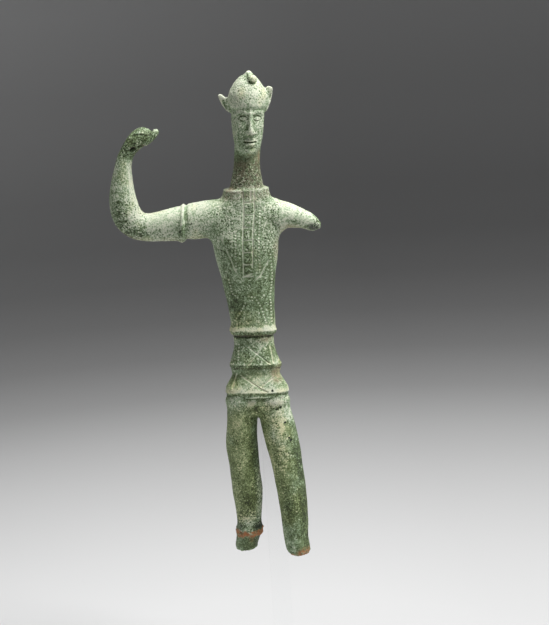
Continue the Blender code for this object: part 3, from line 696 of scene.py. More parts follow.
# How wavy the painted highlight and shade on the skirt's rings are, and how much less powder lies
# between the ladder band's edges.
RING_WAVE = 0.5
LESS_IN_BAND = 0.12

# Patches of the front with more powder or less, some of them painted highlights and shade: x, z,
# half width, half height and how much more.
POWDER_AND_LIGHT_SPOTS = (
    (-3.0, 79.6, 2.4, 2.0, 0.55),
    (8.6, 79.8, 5.0, 2.2, 0.34),
    (2.0, 91.0, 9.0, 3.4, 0.12),
    (5.0, 108.0, 6.0, 3.0, 0.12),
    (-1.2, 76.8, 1.8, 3.0, -0.45),
    (9.4, 76.6, 2.6, 1.0, -0.35),
    (12.0, 73.6, 2.8, 3.0, -0.16),
    (15.6, 72.5, 1.6, 4.0, 0.30),
    (10.2, 62.0, 4.2, 16.0, 0.24),
    (-6.5, 126.0, 4.0, 9.0, -0.14),
    # Painted shade under the first ring's edge.
    (0.0, 111.4, 16.0, 1.5, -0.40),
    # Painted shade on the left of the first ring's top.
    (-8.0, 115.4, 5.0, 2.0, -0.08),
    (-4.4, 70.0, 3.0, 4.6, -0.16),
    (-4.5, 50.0, 2.6, 16.0, -0.10),
    (-10.0, 55.0, 3.0, 30.0, 0.10),
    (5.0, 60.0, 2.0, 24.0, 0.10),
    (18.0, 34.0, 2.8, 24.0, -0.24),
    (17.2, 6.2, 3.4, 3.0, 0.18),
    (10.5, 73.0, 5.0, 6.0, 0.24),
    (-2.0, 38.0, 1.6, 14.0, 0.34),
    (-7.5, 21.0, 6.2, 3.0, 0.30),
    (-3.2, 26.0, 2.0, 6.0, 0.34),
    (-7.5, 31.0, 3.4, 6.0, -0.14),
    (12.0, 26.0, 5.0, 8.0, -0.08),
    (13.0, 12.0, 6.0, 2.4, 0.12),
    (12.0, 8.4, 2.0, 2.0, 0.20),
    # A painted highlight on the right of the first ring's top.
    (8.8, 115.4, 5.4, 2.0, 0.30),
    (2.0, 86.6, 8.0, 2.0, 0.12),
    (-57.5, 171.0, 4.6, 9.0, -0.28),
    (-52.0, 163.6, 9.0, 3.6, -0.34),
    (-51.0, 171.5, 5.0, 3.0, 0.16),
    (-45.0, 205.0, 3.6, 2.6, 0.20),
    # A painted highlight along the top of the raised hand.
    (-41.5, 211.0, 2.6, 1.0, 0.15),
    (-37.6, 210.2, 1.3, 1.3, -0.10),
    (-9.7, 155.0, 2.4, 4.5, -0.25),
    # Painted shade on the lower half of the sleeve's ring and the groove beside it.
    (-29.4, 162.0, 2.2, 5.0, -0.40),
    # Painted shade along the broken arm's lower side, where its lit front turns under.
    (19.6, 164.6, 3.6, 0.8, -0.30),
    (24.6, 163.0, 2.6, 0.7, -0.30),
    (27.8, 161.4, 1.8, 0.7, -0.30),
    (6.8, 231.6, 2.6, 2.8, -0.34),
)

# Patches of peach brown earth, as a middle, half sizes and how thick it lies.
BLUSH_SPOTS = (
    ((10.0, -6.0, 92.5), (5.0, 9.0, 6.0), 0.9),
    ((6.5, -8.0, 109.5), (7.0, 6.0, 2.2), 0.8),
    ((-7.0, -5.0, 181.0), (4.2, 6.0, 2.0), 0.9),
    ((8.2, -4.0, 195.5), (2.6, 6.0, 5.0), 0.7),
    ((19.5, -3.0, 161.0), (7.0, 8.0, 3.6), 0.5),
    ((13.0, -3.0, 152.0), (2.6, 6.0, 9.0), 0.5),
    ((9.0, -8.0, 79.0), (6.0, 6.0, 3.0), 0.25),
    ((-44.0, -2.0, 173.0), (9.0, 8.0, 2.6), 0.45),
)


# How marks hold powder: from and to what distance from a line and a dot it fades, how much a line
# holds against a dot, how strongly they are worn and how much is left at least. Beside a mark,
# within this distance, lies painted shade, taken off the powder, and the crust is less rough.
LINE_POWDER = (0.10, 0.46)
DOT_POWDER = (0.15, 0.52)
LINE_SHARE = 0.85
MARK_WEAR = 0.6
MARK_LEAST = 0.8
BESIDE_MARKS = (0.8, 1.4)
PAINTED_SHADE_BESIDE_MARKS = 0.12
LESS_ROUGH_BESIDE = 0.6
# From and to what share of a hole's radius its painted shade fades.
HOLE_SHADE = (0.5, 1.1)

# Hollows are painted darker and edges paler: the patina gathered in hollows and worn from edges, and
# painted shade in the hollows.
# Hollows: how often their depth is evened out nearby and more broadly, how much each of the two
# counts, what a flat surface counts as, and how much less a hollow counts in a mark.
HOLLOW_NEAR_PASSES = 1
HOLLOW_BROAD_PASSES = 14
HOLLOW_NEAR_SHARE = 0.55
HOLLOW_BROAD_SHARE = 0.9
HOLLOW_MIDDLE = 0.5
LESS_HOLLOW_IN_MARKS = 0.8

# The neck's brown earth: from and to what heights, how far to each side, and the collar's rim, with
# its height, half width and how much less earth it carries.
NECK_STARTS = (174.5, 178.0)
NECK_ENDS = (192.0, 198.0)
NECK_SIDE = 13.0
CLEAN_COLLAR_RIM = (180.4, 0.7, 0.5)

# The yellower green: it fills the legs up to the hem, less on the shins, on what faces right and on
# the leading leg, and lies thinner on the skirt.
HEM_HEIGHT = 84.0
SKIRT_TOP = 124.0
OLIVE_ENDS = (70.0, 84.0)
LESS_OLIVE = 0.8
SKIRT_OLIVE = 0.4
BLUER_SHINS = (17.0, 27.0)
BLUER_LEADING_LEG = 0.42
LEADING_LEG_STARTS = (3.0, 6.0)

# The red stains: a wavy ring round the left ankle, from its foot to its top, and spots as a middle,
# half sizes and how thick they lie.
LEFT_LEG_SIDE = 1.5
RUST_WAVE = 1.1
RUST_RING_FOOT = (12.3, 13.3)
RUST_RING_TOP = (15.8, 16.6)
RUST_SPOTS = (
    ((17.0, -11.0, 6.0), (5.4, 8.0, 4.6), 1.0),
    ((11.6, -11.0, 5.2), (2.2, 7.0, 1.6), 1.0),
    ((-7.6, -6.0, 11.8), (1.8, 6.0, 2.6), 0.5),
)

# The dark bare metal: the arm's break as a middle and half sizes, and the rim over the left ankle's
# ring, with its height and half height, which is bare on the right and less so on the left.
BARE_BREAK = ((31.3, -4.0, 160.6), (4.2, 6.0, 2.9))
BARE_RIM = (17.7, 1.5)
BARE_RIM_RIGHT = (-7.0, -4.5)
BARE_RIM_LEFT = (-12.5, -10.0)
BARE_RIM_LEFT_SHARE = 0.6


def by_table(table, value):
    """Read a table of pairs between its rows."""
    return np.interp(value, [row[0] for row in table], [row[1] for row in table])


def leaning(name, lean):
    """Say how much more lies at each point, by how far the surface leans one way."""
    more, low, high = LEANS[name]
    return more * step(low, high, lean)


def powder_and_light_patches(place, front):
    """Say how much the front's patches of powder, painted highlight and shade add at each point."""
    ragged = RAGGED * grain(place, "ragged powder")
    amount = np.zeros(len(place))
    for spot_x, spot_z, wide, high, more in POWDER_AND_LIGHT_SPOTS:
        away = oval(place[:, 0], place[:, 2], spot_x, spot_z, wide, high) + ragged
        amount += more * front * fall(*PATCH_FADES, away)
    return amount


def ring_highlight_and_shade(place):
    """Give the painted highlight on top of the skirt's rings and the painted shade under them."""
    level = ring_level(place) + RING_WAVE * grain(place, "wavy ring")
    up, width = RING_HIGHLIGHT
    less, shade_starts, shade_ends = RING_SHADE
    amount = np.zeros(len(place))
    for edge, foot, _, _, paler in RINGS:
        shade = step(*shade_starts, level - edge) * fall(*shade_ends, level - foot)
        amount += paler * bell(level, edge + up, width) - less * shade
    return amount * within(place, SKIRT)


def powder(place, facing):
    """Say how much pale powder and painted light lie at each point: most on what faces up."""
    x, z = place[:, 0], place[:, 2]
    right, up = facing[:, 0], facing[:, 2]
    front = step(*FRONT_STARTS["powder"], -facing[:, 1])
    amount = by_table(BODY_POWDER, z)
    amount = np.where(within(place, RAISED_ARM), by_table(ARM_POWDER, x), amount)
    hand = step(*HAND_STARTS, z) * (x < HAND_SIDE)
    amount = amount * (1.0 - hand) + HAND_POWDER * hand
    amount = np.where(within(place, BROKEN_ARM), by_table(STUMP_POWDER, x), amount)
    # More powder and a painted highlight on what faces up, less powder and painted shade on what faces
    # down.
    amount += leaning("powder and painted highlight facing up", up) * (z > UPWARD_POWDER_AND_HIGHLIGHT_FROM)
    amount += leaning("less powder and painted shade facing down", -up)
    # A painted highlight on the forearm's inner side, which faces right.
    forearm = between(*FOREARM_HEIGHTS, z) * (x < FOREARM_SIDE)
    amount += leaning("painted highlight inside the forearm", right) * forearm
    # Patches of powder, painted highlights and shade, and the rings' painted highlight and shade.
    amount += powder_and_light_patches(place, front) + ring_highlight_and_shade(place)
    in_band = within(place, BAND) & (x > band_side(BAND_LEFT, z)) & (x < band_side(BAND_RIGHT, z))
    amount -= LESS_IN_BAND * front * in_band
    amount += leaning("powder on the arm's break", right) * within(place, BROKEN_ARM_END)
    # Painted light on the legs' left sides and painted shade on their right sides.
    legs = fall(*LEGS_END, z)
    amount += legs * leaning("painted light on the legs' left", -right)
    amount += legs * leaning("painted shade on the legs' right", right)
    return np.minimum(amount, MOST_POWDER - LESS_ON_LEGS * legs)


def neighbours(mesh):
    """Give both ends of each edge, and how many neighbours each point has."""
    ends = np.empty(len(mesh.edges) * 2, dtype=np.int64)
    mesh.edges.foreach_get("vertices", ends)
    a, b = ends.reshape(-1, 2).T
    return a, b, np.maximum(np.bincount(ends, minlength=len(mesh.vertices)), 1)


def spread_values(mesh, values, passes):
    """Even out values over neighbouring points."""
    a, b, beside = neighbours(mesh)
    count = len(values)
    for _ in range(passes):
        total = np.bincount(a, values[b], count) + np.bincount(b, values[a], count)
        values = 0.5 * values + 0.5 * total / beside
    return values


def hollowness(mesh, place, facing):
    """Say how hollow the surface is at each point: above 0 in a hollow, below on an edge."""
    a, b, beside = neighbours(mesh)
    count = len(place)
    lean = np.zeros(count)
    for axis in range(3):
        total = np.bincount(a, place[b, axis], count) + np.bincount(b, place[a, axis], count)
        lean += (total / beside - place[:, axis]) * facing[:, axis]
    length = np.linalg.norm(place[a] - place[b], axis=1)
    reach = (np.bincount(a, length, count) + np.bincount(b, length, count)) / beside
    return lean / np.maximum(reach, 1e-6) ** 2


def paint(mesh, name, values):
    """Keep a value from 0 to 1 at each point for the material to read."""
    layer = mesh.attributes.new(name, "FLOAT", "POINT")
    layer.data.foreach_set("value", np.clip(values, 0.0, 1.0).astype(np.float32))


def in_holes(place, front):
    """Fade from 1 in the middle of the front's deep holes to 0 at their rims."""
    holes = np.zeros(len(place))
    for hole_x, hole_z, radius in HOLES:
        away = oval(place[:, 0], place[:, 2], hole_x, hole_z, radius, radius)
        holes = np.maximum(holes, fall(*HOLE_SHADE, away) * front)
    return holes


def in_spots(place, spots):
    """List how thick each of some spots lies at each point."""
    return [thick * inside(place, centre, radii) for centre, radii, thick in spots]


def paint_crust(mesh, place, facing, marks, holes):
    """Paint where cut marks hold powder, where the surface is hollow, rough or powdery, and painted shade.
    """
    near = spread_values(mesh, hollowness(mesh, place, facing), HOLLOW_NEAR_PASSES)
    broad = spread_values(mesh, near, HOLLOW_BROAD_PASSES)
    line_away, dot_away, front = marks
    worn = np.clip(1.0 + MARK_WEAR * grain(place, "wear"), MARK_LEAST, 1.0)
    in_lines = fall(*LINE_POWDER, line_away) * front * worn
    in_dots = fall(*DOT_POWDER, dot_away) * front * worn
    filled = np.maximum(LINE_SHARE * in_lines, in_dots)
    beside = fall(*BESIDE_MARKS, np.minimum(line_away, dot_away)) * front
    hollow = HOLLOW_NEAR_SHARE * near + HOLLOW_BROAD_SHARE * broad
    paint(mesh, "engraved", filled)
    # Darker in hollows and paler on edges: patina and wear, and painted shade.
    paint(mesh, "hollow", HOLLOW_MIDDLE + hollow * (1.0 - LESS_HOLLOW_IN_MARKS * filled))
    paint(mesh, "stipple", stippled(place) * (1.0 - LESS_ROUGH_BESIDE * beside))
    # Besides powder, this value carries the painted highlights and shade, and painted shade beside the
    # marks and in the holes.
    paint(mesh, "powder", powder(place, facing) - PAINTED_SHADE_BESIDE_MARKS * beside - holes)


def paint_earth(mesh, place, facing):
    """Paint the neck's brown earth, the peach brown patches, painted bounce light and the legs' yellower
    green.
    """
    x, z = place[:, 0], place[:, 2]
    neck = step(*NECK_STARTS, z) * fall(*NECK_ENDS, z) * (abs(x - NECK_MIDDLE) < NECK_SIDE)
    rim, width, less = CLEAN_COLLAR_RIM
    paint(mesh, "earth", neck * (1.0 - less * bell(z, rim, width)))
    # Painted bounce light: the peach brown on what faces down above the hem.
    under = leaning("painted bounce light underneath", -facing[:, 2]) * (z > HEM_HEIGHT)
    paint(mesh, "blush_and_bounce_light", sum(in_spots(place, BLUSH_SPOTS)) + under)
    bluer = np.maximum(fall(*BLUER_SHINS, z), leaning("bluer on the right", facing[:, 0]))
    bluer = np.maximum(bluer, BLUER_LEADING_LEG * step(*LEADING_LEG_STARTS, x))
    legs = fall(*OLIVE_ENDS, z) * (1.0 - LESS_OLIVE * bluer)
    paint(mesh, "olive", legs + SKIRT_OLIVE * (z > HEM_HEIGHT) * (z < SKIRT_TOP))


def paint_ends(mesh, place, holes):
    """Paint the red stains of both ankles, the breaks' dark uncovered metal and the holes' painted shade.
    """
    x, z = place[:, 0], place[:, 2]
    wavy = z + RUST_WAVE * grain(place, "wavy rust")
    left_leg = x < LEFT_LEG_SIDE
    ring = fall(*RUST_RING_TOP, wavy) * step(*RUST_RING_FOOT, wavy) * left_leg
    paint(mesh, "rust", np.max([ring, *in_spots(place, RUST_SPOTS)], axis=0))
    sides = np.maximum(step(*BARE_RIM_RIGHT, x), BARE_RIM_LEFT_SHARE * fall(*BARE_RIM_LEFT, x))
    rim = bell(wavy, *BARE_RIM) * sides * left_leg
    # The holes take the same dark wash, as painted shade.
    paint(mesh, "bare_metal_and_hole_shade", np.max([inside(place, *BARE_BREAK), rim, holes], axis=0))


def painted(mesh):
    """Say at each point where patina, powder, earth and rust lie."""
    place = places(mesh)
    facing = normals(mesh)
    marks = front_marks(place, facing)
    holes = in_holes(place, marks[-1])
    paint_crust(mesh, place, facing, marks, holes)
    paint_earth(mesh, place, facing)
    paint_ends(mesh, place, holes)


def richly_worked(mesh):
    """Say which points carry the finest work: the body's front, the raised hand and the arm's break."""
    place = places(mesh)
    facing = normals(mesh)
    body = (facing[:, 1] < BODY_FACES_BACK) & within(place, WORKED_BODY)
    hand = (facing[:, 1] < HAND_FACES_BACK) & within(place, WORKED_HAND)
    return body | hand | within(place, WORKED_BREAK)


def thinned(piece):
    """Cut the skin's faces down to their number, but for the cut marks, the plain places most."""
    for rich, budget in ((False, PLAIN_TRIANGLES), (True, WORKED_TRIANGLES)):
        mesh = piece.data
        line_away, dot_away, _ = front_marks(places(mesh), normals(mesh))
        chosen = (richly_worked(mesh) == rich) & (np.minimum(line_away, dot_away) > KEPT_BESIDE_MARKS)
        mesh.calc_loop_triangles()
        corners_of = np.empty(len(mesh.loop_triangles) * 3, dtype=np.int64)
        mesh.loop_triangles.foreach_get("vertices", corners_of)
        inside_count = int(chosen[corners_of.reshape(-1, 3)].all(axis=1).sum())
        total = len(mesh.loop_triangles)
        group = piece.vertex_groups.new(name="thinned")
        group.add(np.nonzero(chosen)[0].tolist(), 1.0, "REPLACE")
        thin = piece.modifiers.new("fewer faces", "DECIMATE")
        thin.vertex_group = "thinned"
        thin.ratio = min(1.0, (total - inside_count + budget) / total)
        thin.use_collapse_triangulate = True
        piece.data = evaluated(piece)
        piece.modifiers.clear()
        piece.vertex_groups.clear()


def fine_bronze():
    """Work the solid bronze into a fine skin with its lines, dots, breaks and corrosion."""
    shape = bmesh.new()
    shape.from_mesh(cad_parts["bronze_warrior"].data)
    bmesh.ops.remove_doubles(shape, verts=shape.verts, dist=1e-6)
    mesh = bpy.data.meshes.new("patinated_warrior")
    shape.to_mesh(mesh)
    shape.free()
    piece = linked("patinated_warrior", mesh)
    skin = piece.modifiers.new("fine skin", "REMESH")
    skin.mode = "VOXEL"
    skin.voxel_size = SKIN_GRAIN * MM
    piece.data = evaluated(piece)
    piece.modifiers.clear()
    smoothed(piece)
    worked(piece.data)
    thinned(piece)
    piece.data.shade_smooth()
    painted(piece.data)
    return piece


def linear(hex_colour):
    """Turn an sRGB hex colour into the linear values that a shader takes."""
    made = []
    for start in (1, 3, 5):
        value = int(hex_colour[start:start + 2], 16) / 255
        made.append(value / 12.92 if value <= 0.04045 else ((value + 0.055) / 1.055) ** 2.4)
    return (*made, 1.0)


def add(tree, kind, settings, links, stops=()):
    """Add a node with its settings, its links or values, and the colour stops of a ramp."""
    made = tree.nodes.new(kind)
    for name, value in settings.items():
        setattr(made, name, value)
    for socket, value in links.items():
        if isinstance(value, bpy.types.NodeSocket):
            tree.links.new(value, made.inputs[socket])
        else:
            made.inputs[socket].default_value = value
    for index, (position, colour) in enumerate(stops):
        elements = made.color_ramp.elements
        stop = elements[index] if index < 2 else elements.new(position)
        stop.position = position
        stop.color = linear(colour)
    return made


def fresh_material(name):
    """Start a material with its shader, and with where each point lies on the object."""
    made = bpy.data.materials.new(name)
    made.use_nodes = True
    tree = made.node_tree
    where = add(tree, "ShaderNodeTexCoord", {}, {}).outputs["Object"]
    return made, tree, tree.nodes["Principled BSDF"], where


# What is painted on the bronze's points for its material to read.
PAINTED = ("stipple", "powder", "hollow", "engraved", "olive", "earth", "blush_and_bounce_light", "bare_metal_and_hole_shade", "rust")
# Soft noises of the patina, by name: size in millimetres, detail and roughness.
PATINA_CLOUDS = {
    "grit": (0.42, 2.0, 0.6),
    "crumb": (0.75, 3.0, 0.7),
    "crust": (1.5, 4.0, 0.6),
    "scab": (2.4, 3.0, 0.6),
    "drift": (7.0, 4.0, 0.6),
    "hue": (11.0, 3.0, 0.6),
}
# Round grains of powder and round pits, where the crust is rough: how far apart in millimetres, and
# from and to what share of that each one fades.
PATINA_SPOTS = {"grains": (1.3, 0.16, 0.42), "pits": (1.6, 0.13, 0.29)}
# Over what values of the scab noise the spots come in, and how much of them there is at least.
SPOT_PATCHES = (0.40, 0.60)
SPOT_LEAST = 0.15
# How much grit counts against crumbs, and the noises' middle value, which is taken off both. Then how
# much of them shows everywhere, and how much more on a rough crust.
GRIT_SHARE = 0.65
NOISE_MIDDLE = 0.5
FINE_EVERYWHERE = 0.25
MORE_FINE_ON_ROUGH = 0.85
# How pale the crust is where nothing adds to it, how much each thing makes it paler, and its colours
# from its pits to its palest powder.
PATINA_MIDDLE = 0.13
# The powder and hollow values carry painted highlights and shade besides powder and patina.
PALER_BY = {"fine": 2.35, "scab": 0.52, "drift": 0.55, "grains": 0.78, "pits": -1.0, "powder": 0.95,
            "hollow": -0.75, "engraved": 1.0}
PATINA_STOPS = ((0.00, "#181E10"), (0.24, "#3B4528"), (0.48, "#66744E"), (0.72, "#96A888"),
                (0.86, "#BFC9AF"), (0.99, "#E4E1D0"))
# The yellower and the bluer green that it drifts between, how strong they are, and how far an
# olive place leans to the yellower one.
HUE_STOPS = ((0.18, "#F1F0A2"), (0.46, "#E6F7E7"))
HUE_STRENGTH = 0.50
OLIVE_LEAN = -0.40
# What is washed over the patina: where it lies, how its edge breaks up, how strong, and its colour.
# Between its flakes, this share of its strength is left.
PATINA_WASHES = (
    ("earth", 0.40, 0.56, 0.52, "#7D6C5C"),
    # This wash also paints bounce light on what faces down.
    ("blush_and_bounce_light", 0.35, 0.60, 0.70, "#AA937A"),
    # This wash also paints the shade in the front's holes.
    ("bare_metal_and_hole_shade", 0.30, 0.45, 0.85, "#20261F"),
    ("rust", 0.39, 0.55, 0.95, "#B3744A"),
)
WASH_LEAST = 0.15
# The relief that is too fine for the mesh: how far grains stand proud and pits are sunk against the
# grit, and its height in millimetres and strength.
RELIEF_BY = {"grains": 0.8, "pits": -0.9}
RELIEF_HEIGHT = 0.22
RELIEF_STRENGTH = 0.8


def patina_spots(tree, where, scab, rough):
    """Draw the crust's round grains and pits, in patches."""
    patchy = add(tree, "ShaderNodeMapRange", {}, {
        "Value": scab, "From Min": SPOT_PATCHES[0], "From Max": SPOT_PATCHES[1],
        "To Min": SPOT_LEAST, "To Max": 1.0}).outputs["Result"]
    spots = {}
    for name, (pitch, near, far) in PATINA_SPOTS.items():
        cells = add(tree, "ShaderNodeTexVoronoi", {}, {"Vector": where, "Scale": 1 / (pitch * MM)})
        spot = add(tree, "ShaderNodeMapRange", {}, {
            "Value": cells.outputs["Distance"], "From Min": near, "From Max": far,
            "To Min": 1.0, "To Max": 0.0}).outputs["Result"]
        there = add(tree, "ShaderNodeMath", {"operation": "MULTIPLY"}, {0: spot, 1: rough}).outputs["Value"]
        spots[name] = add(tree, "ShaderNodeMath", {"operation": "MULTIPLY"}, {
            0: there, 1: patchy}).outputs["Value"]
    return spots


def patina_grit(tree, grit, crumb, rough):
    """Mix grit and crumbs, which show fully on a rough crust and a little on a plain one."""
    middle = -NOISE_MIDDLE * (1.0 + GRIT_SHARE)
    fine = add(tree, "ShaderNodeMath", {"operation": "MULTIPLY_ADD"}, {0: grit, 1: GRIT_SHARE, 2: middle})
    fine = add(tree, "ShaderNodeMath", {"operation": "ADD"}, {0: crumb, 1: fine.outputs["Value"]})
    share = add(tree, "ShaderNodeMath", {"operation": "MULTIPLY_ADD"}, {
        0: rough, 1: MORE_FINE_ON_ROUGH, 2: FINE_EVERYWHERE})
    return add(tree, "ShaderNodeMath", {"operation": "MULTIPLY"}, {
        0: fine.outputs["Value"], 1: share.outputs["Value"]}).outputs["Value"]


def green_patina():
    """Cast leaded bronze under an old carbonate patina: matt, mottled green with powder and painted light.
    """
    made, tree, shader, where = fresh_material("cast bronze green carbonate patina")
    kept = {name: add(tree, "ShaderNodeAttribute", {"attribute_name": name}, {}).outputs["Fac"]
            for name in PAINTED}
    cloud = {name: add(tree, "ShaderNodeTexNoise", {}, {
        "Vector": where, "Scale": 1 / (size * MM), "Detail": detail, "Roughness": rough}).outputs["Fac"]
        for name, (size, detail, rough) in PATINA_CLOUDS.items()}
    spots = patina_spots(tree, where, cloud["scab"], kept["stipple"])
    fine = patina_grit(tree, cloud["grit"], cloud["crumb"], kept["stipple"])
    adding = {**cloud, **spots, **kept, "fine": fine}
    pale = PATINA_MIDDLE
    for name, weight in PALER_BY.items():
        pale = add(tree, "ShaderNodeMath", {"operation": "MULTIPLY_ADD"}, {
            0: adding[name], 1: weight, 2: pale}).outputs["Value"]
    crust = add(tree, "ShaderNodeValToRGB", {}, {"Fac": pale}, PATINA_STOPS)
    # Slow changes between a bluer and a yellower green, the legs being the yellowest.
    hue = add(tree, "ShaderNodeMath", {"operation": "MULTIPLY_ADD"}, {
        0: kept["olive"], 1: OLIVE_LEAN, 2: cloud["hue"]})
    hue = add(tree, "ShaderNodeValToRGB", {}, {"Fac": hue.outputs["Value"]}, HUE_STOPS)
    colour = add(tree, "ShaderNodeMix", {"data_type": "RGBA", "blend_type": "MULTIPLY"}, {
        "Factor": HUE_STRENGTH, "A": crust.outputs["Color"], "B": hue.outputs["Color"]}).outputs["Result"]
    for name, near, far, strength, tint in PATINA_WASHES:
        broken_up = add(tree, "ShaderNodeMapRange", {}, {
            "Value": cloud["crust"], "From Min": near, "From Max": far,
            "To Min": WASH_LEAST * strength, "To Max": strength})
        there = add(tree, "ShaderNodeMath", {"operation": "MULTIPLY"}, {
            0: broken_up.outputs["Result"], 1: kept[name]})
        colour = add(tree, "ShaderNodeMix", {"data_type": "RGBA"}, {
            "Factor": there.outputs["Value"], "A": colour, "B": linear(tint)}).outputs["Result"]
    tree.links.new(colour, shader.inputs["Base Color"])
    matt = add(tree, "ShaderNodeMapRange", {}, {
        "Value": cloud["crust"], "From Min": 0.35, "From Max": 0.65, "To Min": 0.50, "To Max": 0.76})
    tree.links.new(matt.outputs["Result"], shader.inputs["Roughness"])
    relief = fine
    for name, weight in RELIEF_BY.items():
        relief = add(tree, "ShaderNodeMath", {"operation": "MULTIPLY_ADD"}, {
            0: spots[name], 1: weight, 2: relief}).outputs["Value"]
    bumps = add(tree, "ShaderNodeBump", {}, {
        "Strength": RELIEF_STRENGTH, "Distance": RELIEF_HEIGHT * MM, "Height": relief})
    tree.links.new(bumps.outputs["Normal"], shader.inputs["Normal"])
    shader.inputs["Metallic"].default_value = 0.0
    shader.inputs["Specular IOR Level"].default_value = 0.45
    return made


# The clear pieces and their material's name, and how far apart wipe marks are, in millimetres.
CLEAR_PIECES = {
    "clear_display_bar": "polished cast acrylic bar",
    "clear_display_foot": "polished cast acrylic foot",
}
WIPE_PITCH = 14.0


def clear_acrylic(name):
    """Cast acrylic, flame-polished: clear, with faint wipe marks.

    Part of the light goes straight through, as real acrylic gathers it under itself again, so that
    the foot stays light.
    """
    made, tree, shader, where = fresh_material(name)
    wipes = add(tree, "ShaderNodeTexNoise", {}, {
        "Vector": where, "Scale": 1 / (WIPE_PITCH * MM), "Detail": 3.0})
    rough = add(tree, "ShaderNodeMapRange", {}, {
        "Value": wipes.outputs["Fac"], "From Min": 0.40, "From Max": 0.75, "To Min": 0.015, "To Max": 0.07})
    tree.links.new(rough.outputs["Result"], shader.inputs["Roughness"])
    shader.inputs["Base Color"].default_value = linear("#FCFDFD")
    shader.inputs["Transmission Weight"].default_value = 1.0
    shader.inputs["IOR"].default_value = 1.49
    shader.inputs["Alpha"].default_value = 0.24
    return made


# The studio: a round pale floor that sweeps up into a wall, as radii and heights in metres.
FLOOR_PROFILE = ((0.0, 0.0), (1.5, 0.0), (1.75, 0.03), (2.0, 0.12), (2.25, 0.30), (2.45, 0.62), (2.5, 1.1),
                 (2.5, 2.0))
FLOOR_STEPS = 96
# Painted light on it, by distance from the middle as shares of its reach in metres: pale under the
# object, darker behind it and paler again up the wall.
PAINTED_FLOOR_LIGHT = ((0.05, "#CBCBCB"), (0.09, "#C4C4C4"), (0.12, "#BDBDBD"), (0.15, "#B5B5B5"),
               (0.19, "#A8A8A8"), (0.24, "#919191"), (0.30, "#808080"), (0.37, "#797979"),
               (0.46, "#7B7B7B"), (0.56, "#878787"), (0.68, "#919191"), (0.80, "#A5A5A5"),
               (0.88, "#B9B9B9"))
FLOOR_REACH = 2.6
# Painted light that makes the paper brighter on the left: from x, to x, and by what factor.
PAINTED_LIGHT_ON_LEFT = (0.12, -0.45, 1.32)


def backdrop_paper():
    """Uncoated backdrop paper, dead matt, with painted light: pale under the object and grey behind it."""
    made, tree, shader, where = fresh_material("graded matt backdrop paper")
    reach = add(tree, "ShaderNodeVectorMath", {"operation": "LENGTH"}, {0: where}).outputs["Value"]
    share = add(tree, "ShaderNodeMath", {"operation": "DIVIDE"}, {0: reach, 1: FLOOR_REACH})
    tones = add(tree, "ShaderNodeValToRGB", {}, {"Fac": share.outputs["Value"]}, PAINTED_FLOOR_LIGHT)
    across = add(tree, "ShaderNodeSeparateXYZ", {}, {"Vector": where}).outputs["X"]
    dim, bright, factor = PAINTED_LIGHT_ON_LEFT
    gain = add(tree, "ShaderNodeMapRange", {}, {
        "Value": across, "From Min": dim, "From Max": bright, "To Min": 1.0, "To Max": factor})
    lit = add(tree, "ShaderNodeVectorMath", {"operation": "SCALE"}, {
        0: tones.outputs["Color"], "Scale": gain.outputs["Result"]})
    tree.links.new(lit.outputs["Vector"], shader.inputs["Base Color"])
    shader.inputs["Roughness"].default_value = 0.9
    shader.inputs["Specular IOR Level"].default_value = 0.1
    return made


def paper_sweep():
    """Lay the backdrop paper on the floor, and sweep it up behind."""
    shape = bmesh.new()
    line = [shape.verts.new((radius, 0.0, height)) for radius, height in FLOOR_PROFILE]
    edges = [shape.edges.new(pair) for pair in zip(line, line[1:])]
    bmesh.ops.spin(shape, geom=line + edges, cent=(0.0, 0.0, 0.0), axis=(0.0, 0.0, 1.0),
                   dvec=(0.0, 0.0, 0.0), angle=2 * math.pi, steps=FLOOR_STEPS, use_merge=True,
                   use_duplicate=False)
    bmesh.ops.remove_doubles(shape, verts=shape.verts, dist=1e-5)
    mesh = bpy.data.meshes.new("paper_sweep")
    shape.to_mesh(mesh)
    shape.free()
    mesh.shade_smooth()
    mesh.materials.append(backdrop_paper())
    linked("paper_sweep", mesh)


# The lights, as names, places and sizes in metres and watts. All shine at one point.
LIGHTS = (
    ("key_high_right", (0.42, -0.22, 1.06), 0.35, 11.2),
    ("overhead_behind", (0.06, 0.22, 1.20), 0.5, 7.4),
    ("side_left", (-1.2, 0.1, 0.45), 0.6, 0.8),
    ("side_right", (1.2, -0.1, 0.45), 0.4, 3.6),
    ("left_fill", (-1.0, -0.8, 0.50), 0.9, 0.8),
)
LIGHT_AIM = Vector((0.0, 0.0, 0.20))
AIR_TONE = "#B9BCC0"
AIR_STRENGTH = 0.085


def panel(name, place, size, watts):
    """Hang a soft square light."""
    light = bpy.data.lights.new(name, "AREA")
    light.shape = "SQUARE"
    light.size = size
    light.energy = watts
    hung = bpy.data.objects.new(name, light)
    hung.location = place
    hung.rotation_euler = (LIGHT_AIM - Vector(place)).to_track_quat("-Z", "Y").to_euler()
    hung.visible_camera = False
    bpy.context.scene.collection.objects.link(hung)


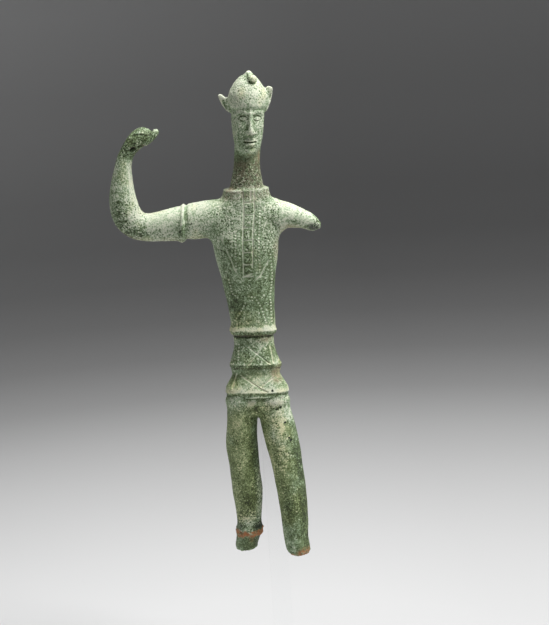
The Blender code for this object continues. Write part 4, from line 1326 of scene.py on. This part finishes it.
def studio():
    """Set the lights, the air's own faint light and how the picture is developed."""
    for light in LIGHTS:
        panel(*light)
    world = bpy.data.worlds.new("soft studio air")
    world.use_nodes = True
    air = world.node_tree.nodes["Background"]
    air.inputs["Color"].default_value = linear(AIR_TONE)
    air.inputs["Strength"].default_value = AIR_STRENGTH
    bpy.context.scene.world = world
    bpy.context.scene.view_settings.view_transform = "Standard"


# The camera stands where the photograph was taken from: how steeply it looks down, how far it rolls
# and stands away, its lens and sensor in millimetres, how near it sees, and the point in the middle
# of its picture.
CAMERA_RISE = math.radians(11.0)
CAMERA_ROLL = math.radians(3.8)
CAMERA_AWAY = 0.8
CAMERA_LENS = 98.04
CAMERA_SENSOR = 36.0
CAMERA_NEAR = 0.01
CAMERA_AIM = Vector((0.01058, 0.0, 0.18811))


def camera():
    """Stand the camera at the photograph's viewing angle."""
    across = Vector((1.0, 0.0, 0.0))
    up = Vector((0.0, math.sin(CAMERA_RISE), math.cos(CAMERA_RISE)))
    ahead = Vector((0.0, math.cos(CAMERA_RISE), -math.sin(CAMERA_RISE)))
    rolled_across = math.cos(CAMERA_ROLL) * across - math.sin(CAMERA_ROLL) * up
    rolled_up = math.sin(CAMERA_ROLL) * across + math.cos(CAMERA_ROLL) * up
    data = bpy.data.cameras.new("photo_camera")
    data.sensor_width = CAMERA_SENSOR
    data.sensor_fit = "AUTO"
    data.lens = CAMERA_LENS
    data.clip_start = CAMERA_NEAR
    stood = bpy.data.objects.new("photo_camera", data)
    stood.matrix_world = Matrix.Translation(CAMERA_AIM - ahead * CAMERA_AWAY) @ Matrix(
        (rolled_across, rolled_up, -ahead)).transposed().to_4x4()
    bpy.context.scene.collection.objects.link(stood)
    bpy.context.scene.camera = stood


def dress():
    """Put the fine bronze in its solid's place and give the clear pieces their material."""
    bronze = fine_bronze()
    bronze.data.materials.clear()
    bronze.data.materials.append(green_patina())
    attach(bronze, "root")
    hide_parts("bronze_warrior")
    for node, finish in CLEAR_PIECES.items():
        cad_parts[node].material_slots[0].material = clear_acrylic(finish)


dress()
paper_sweep()
studio()
camera()
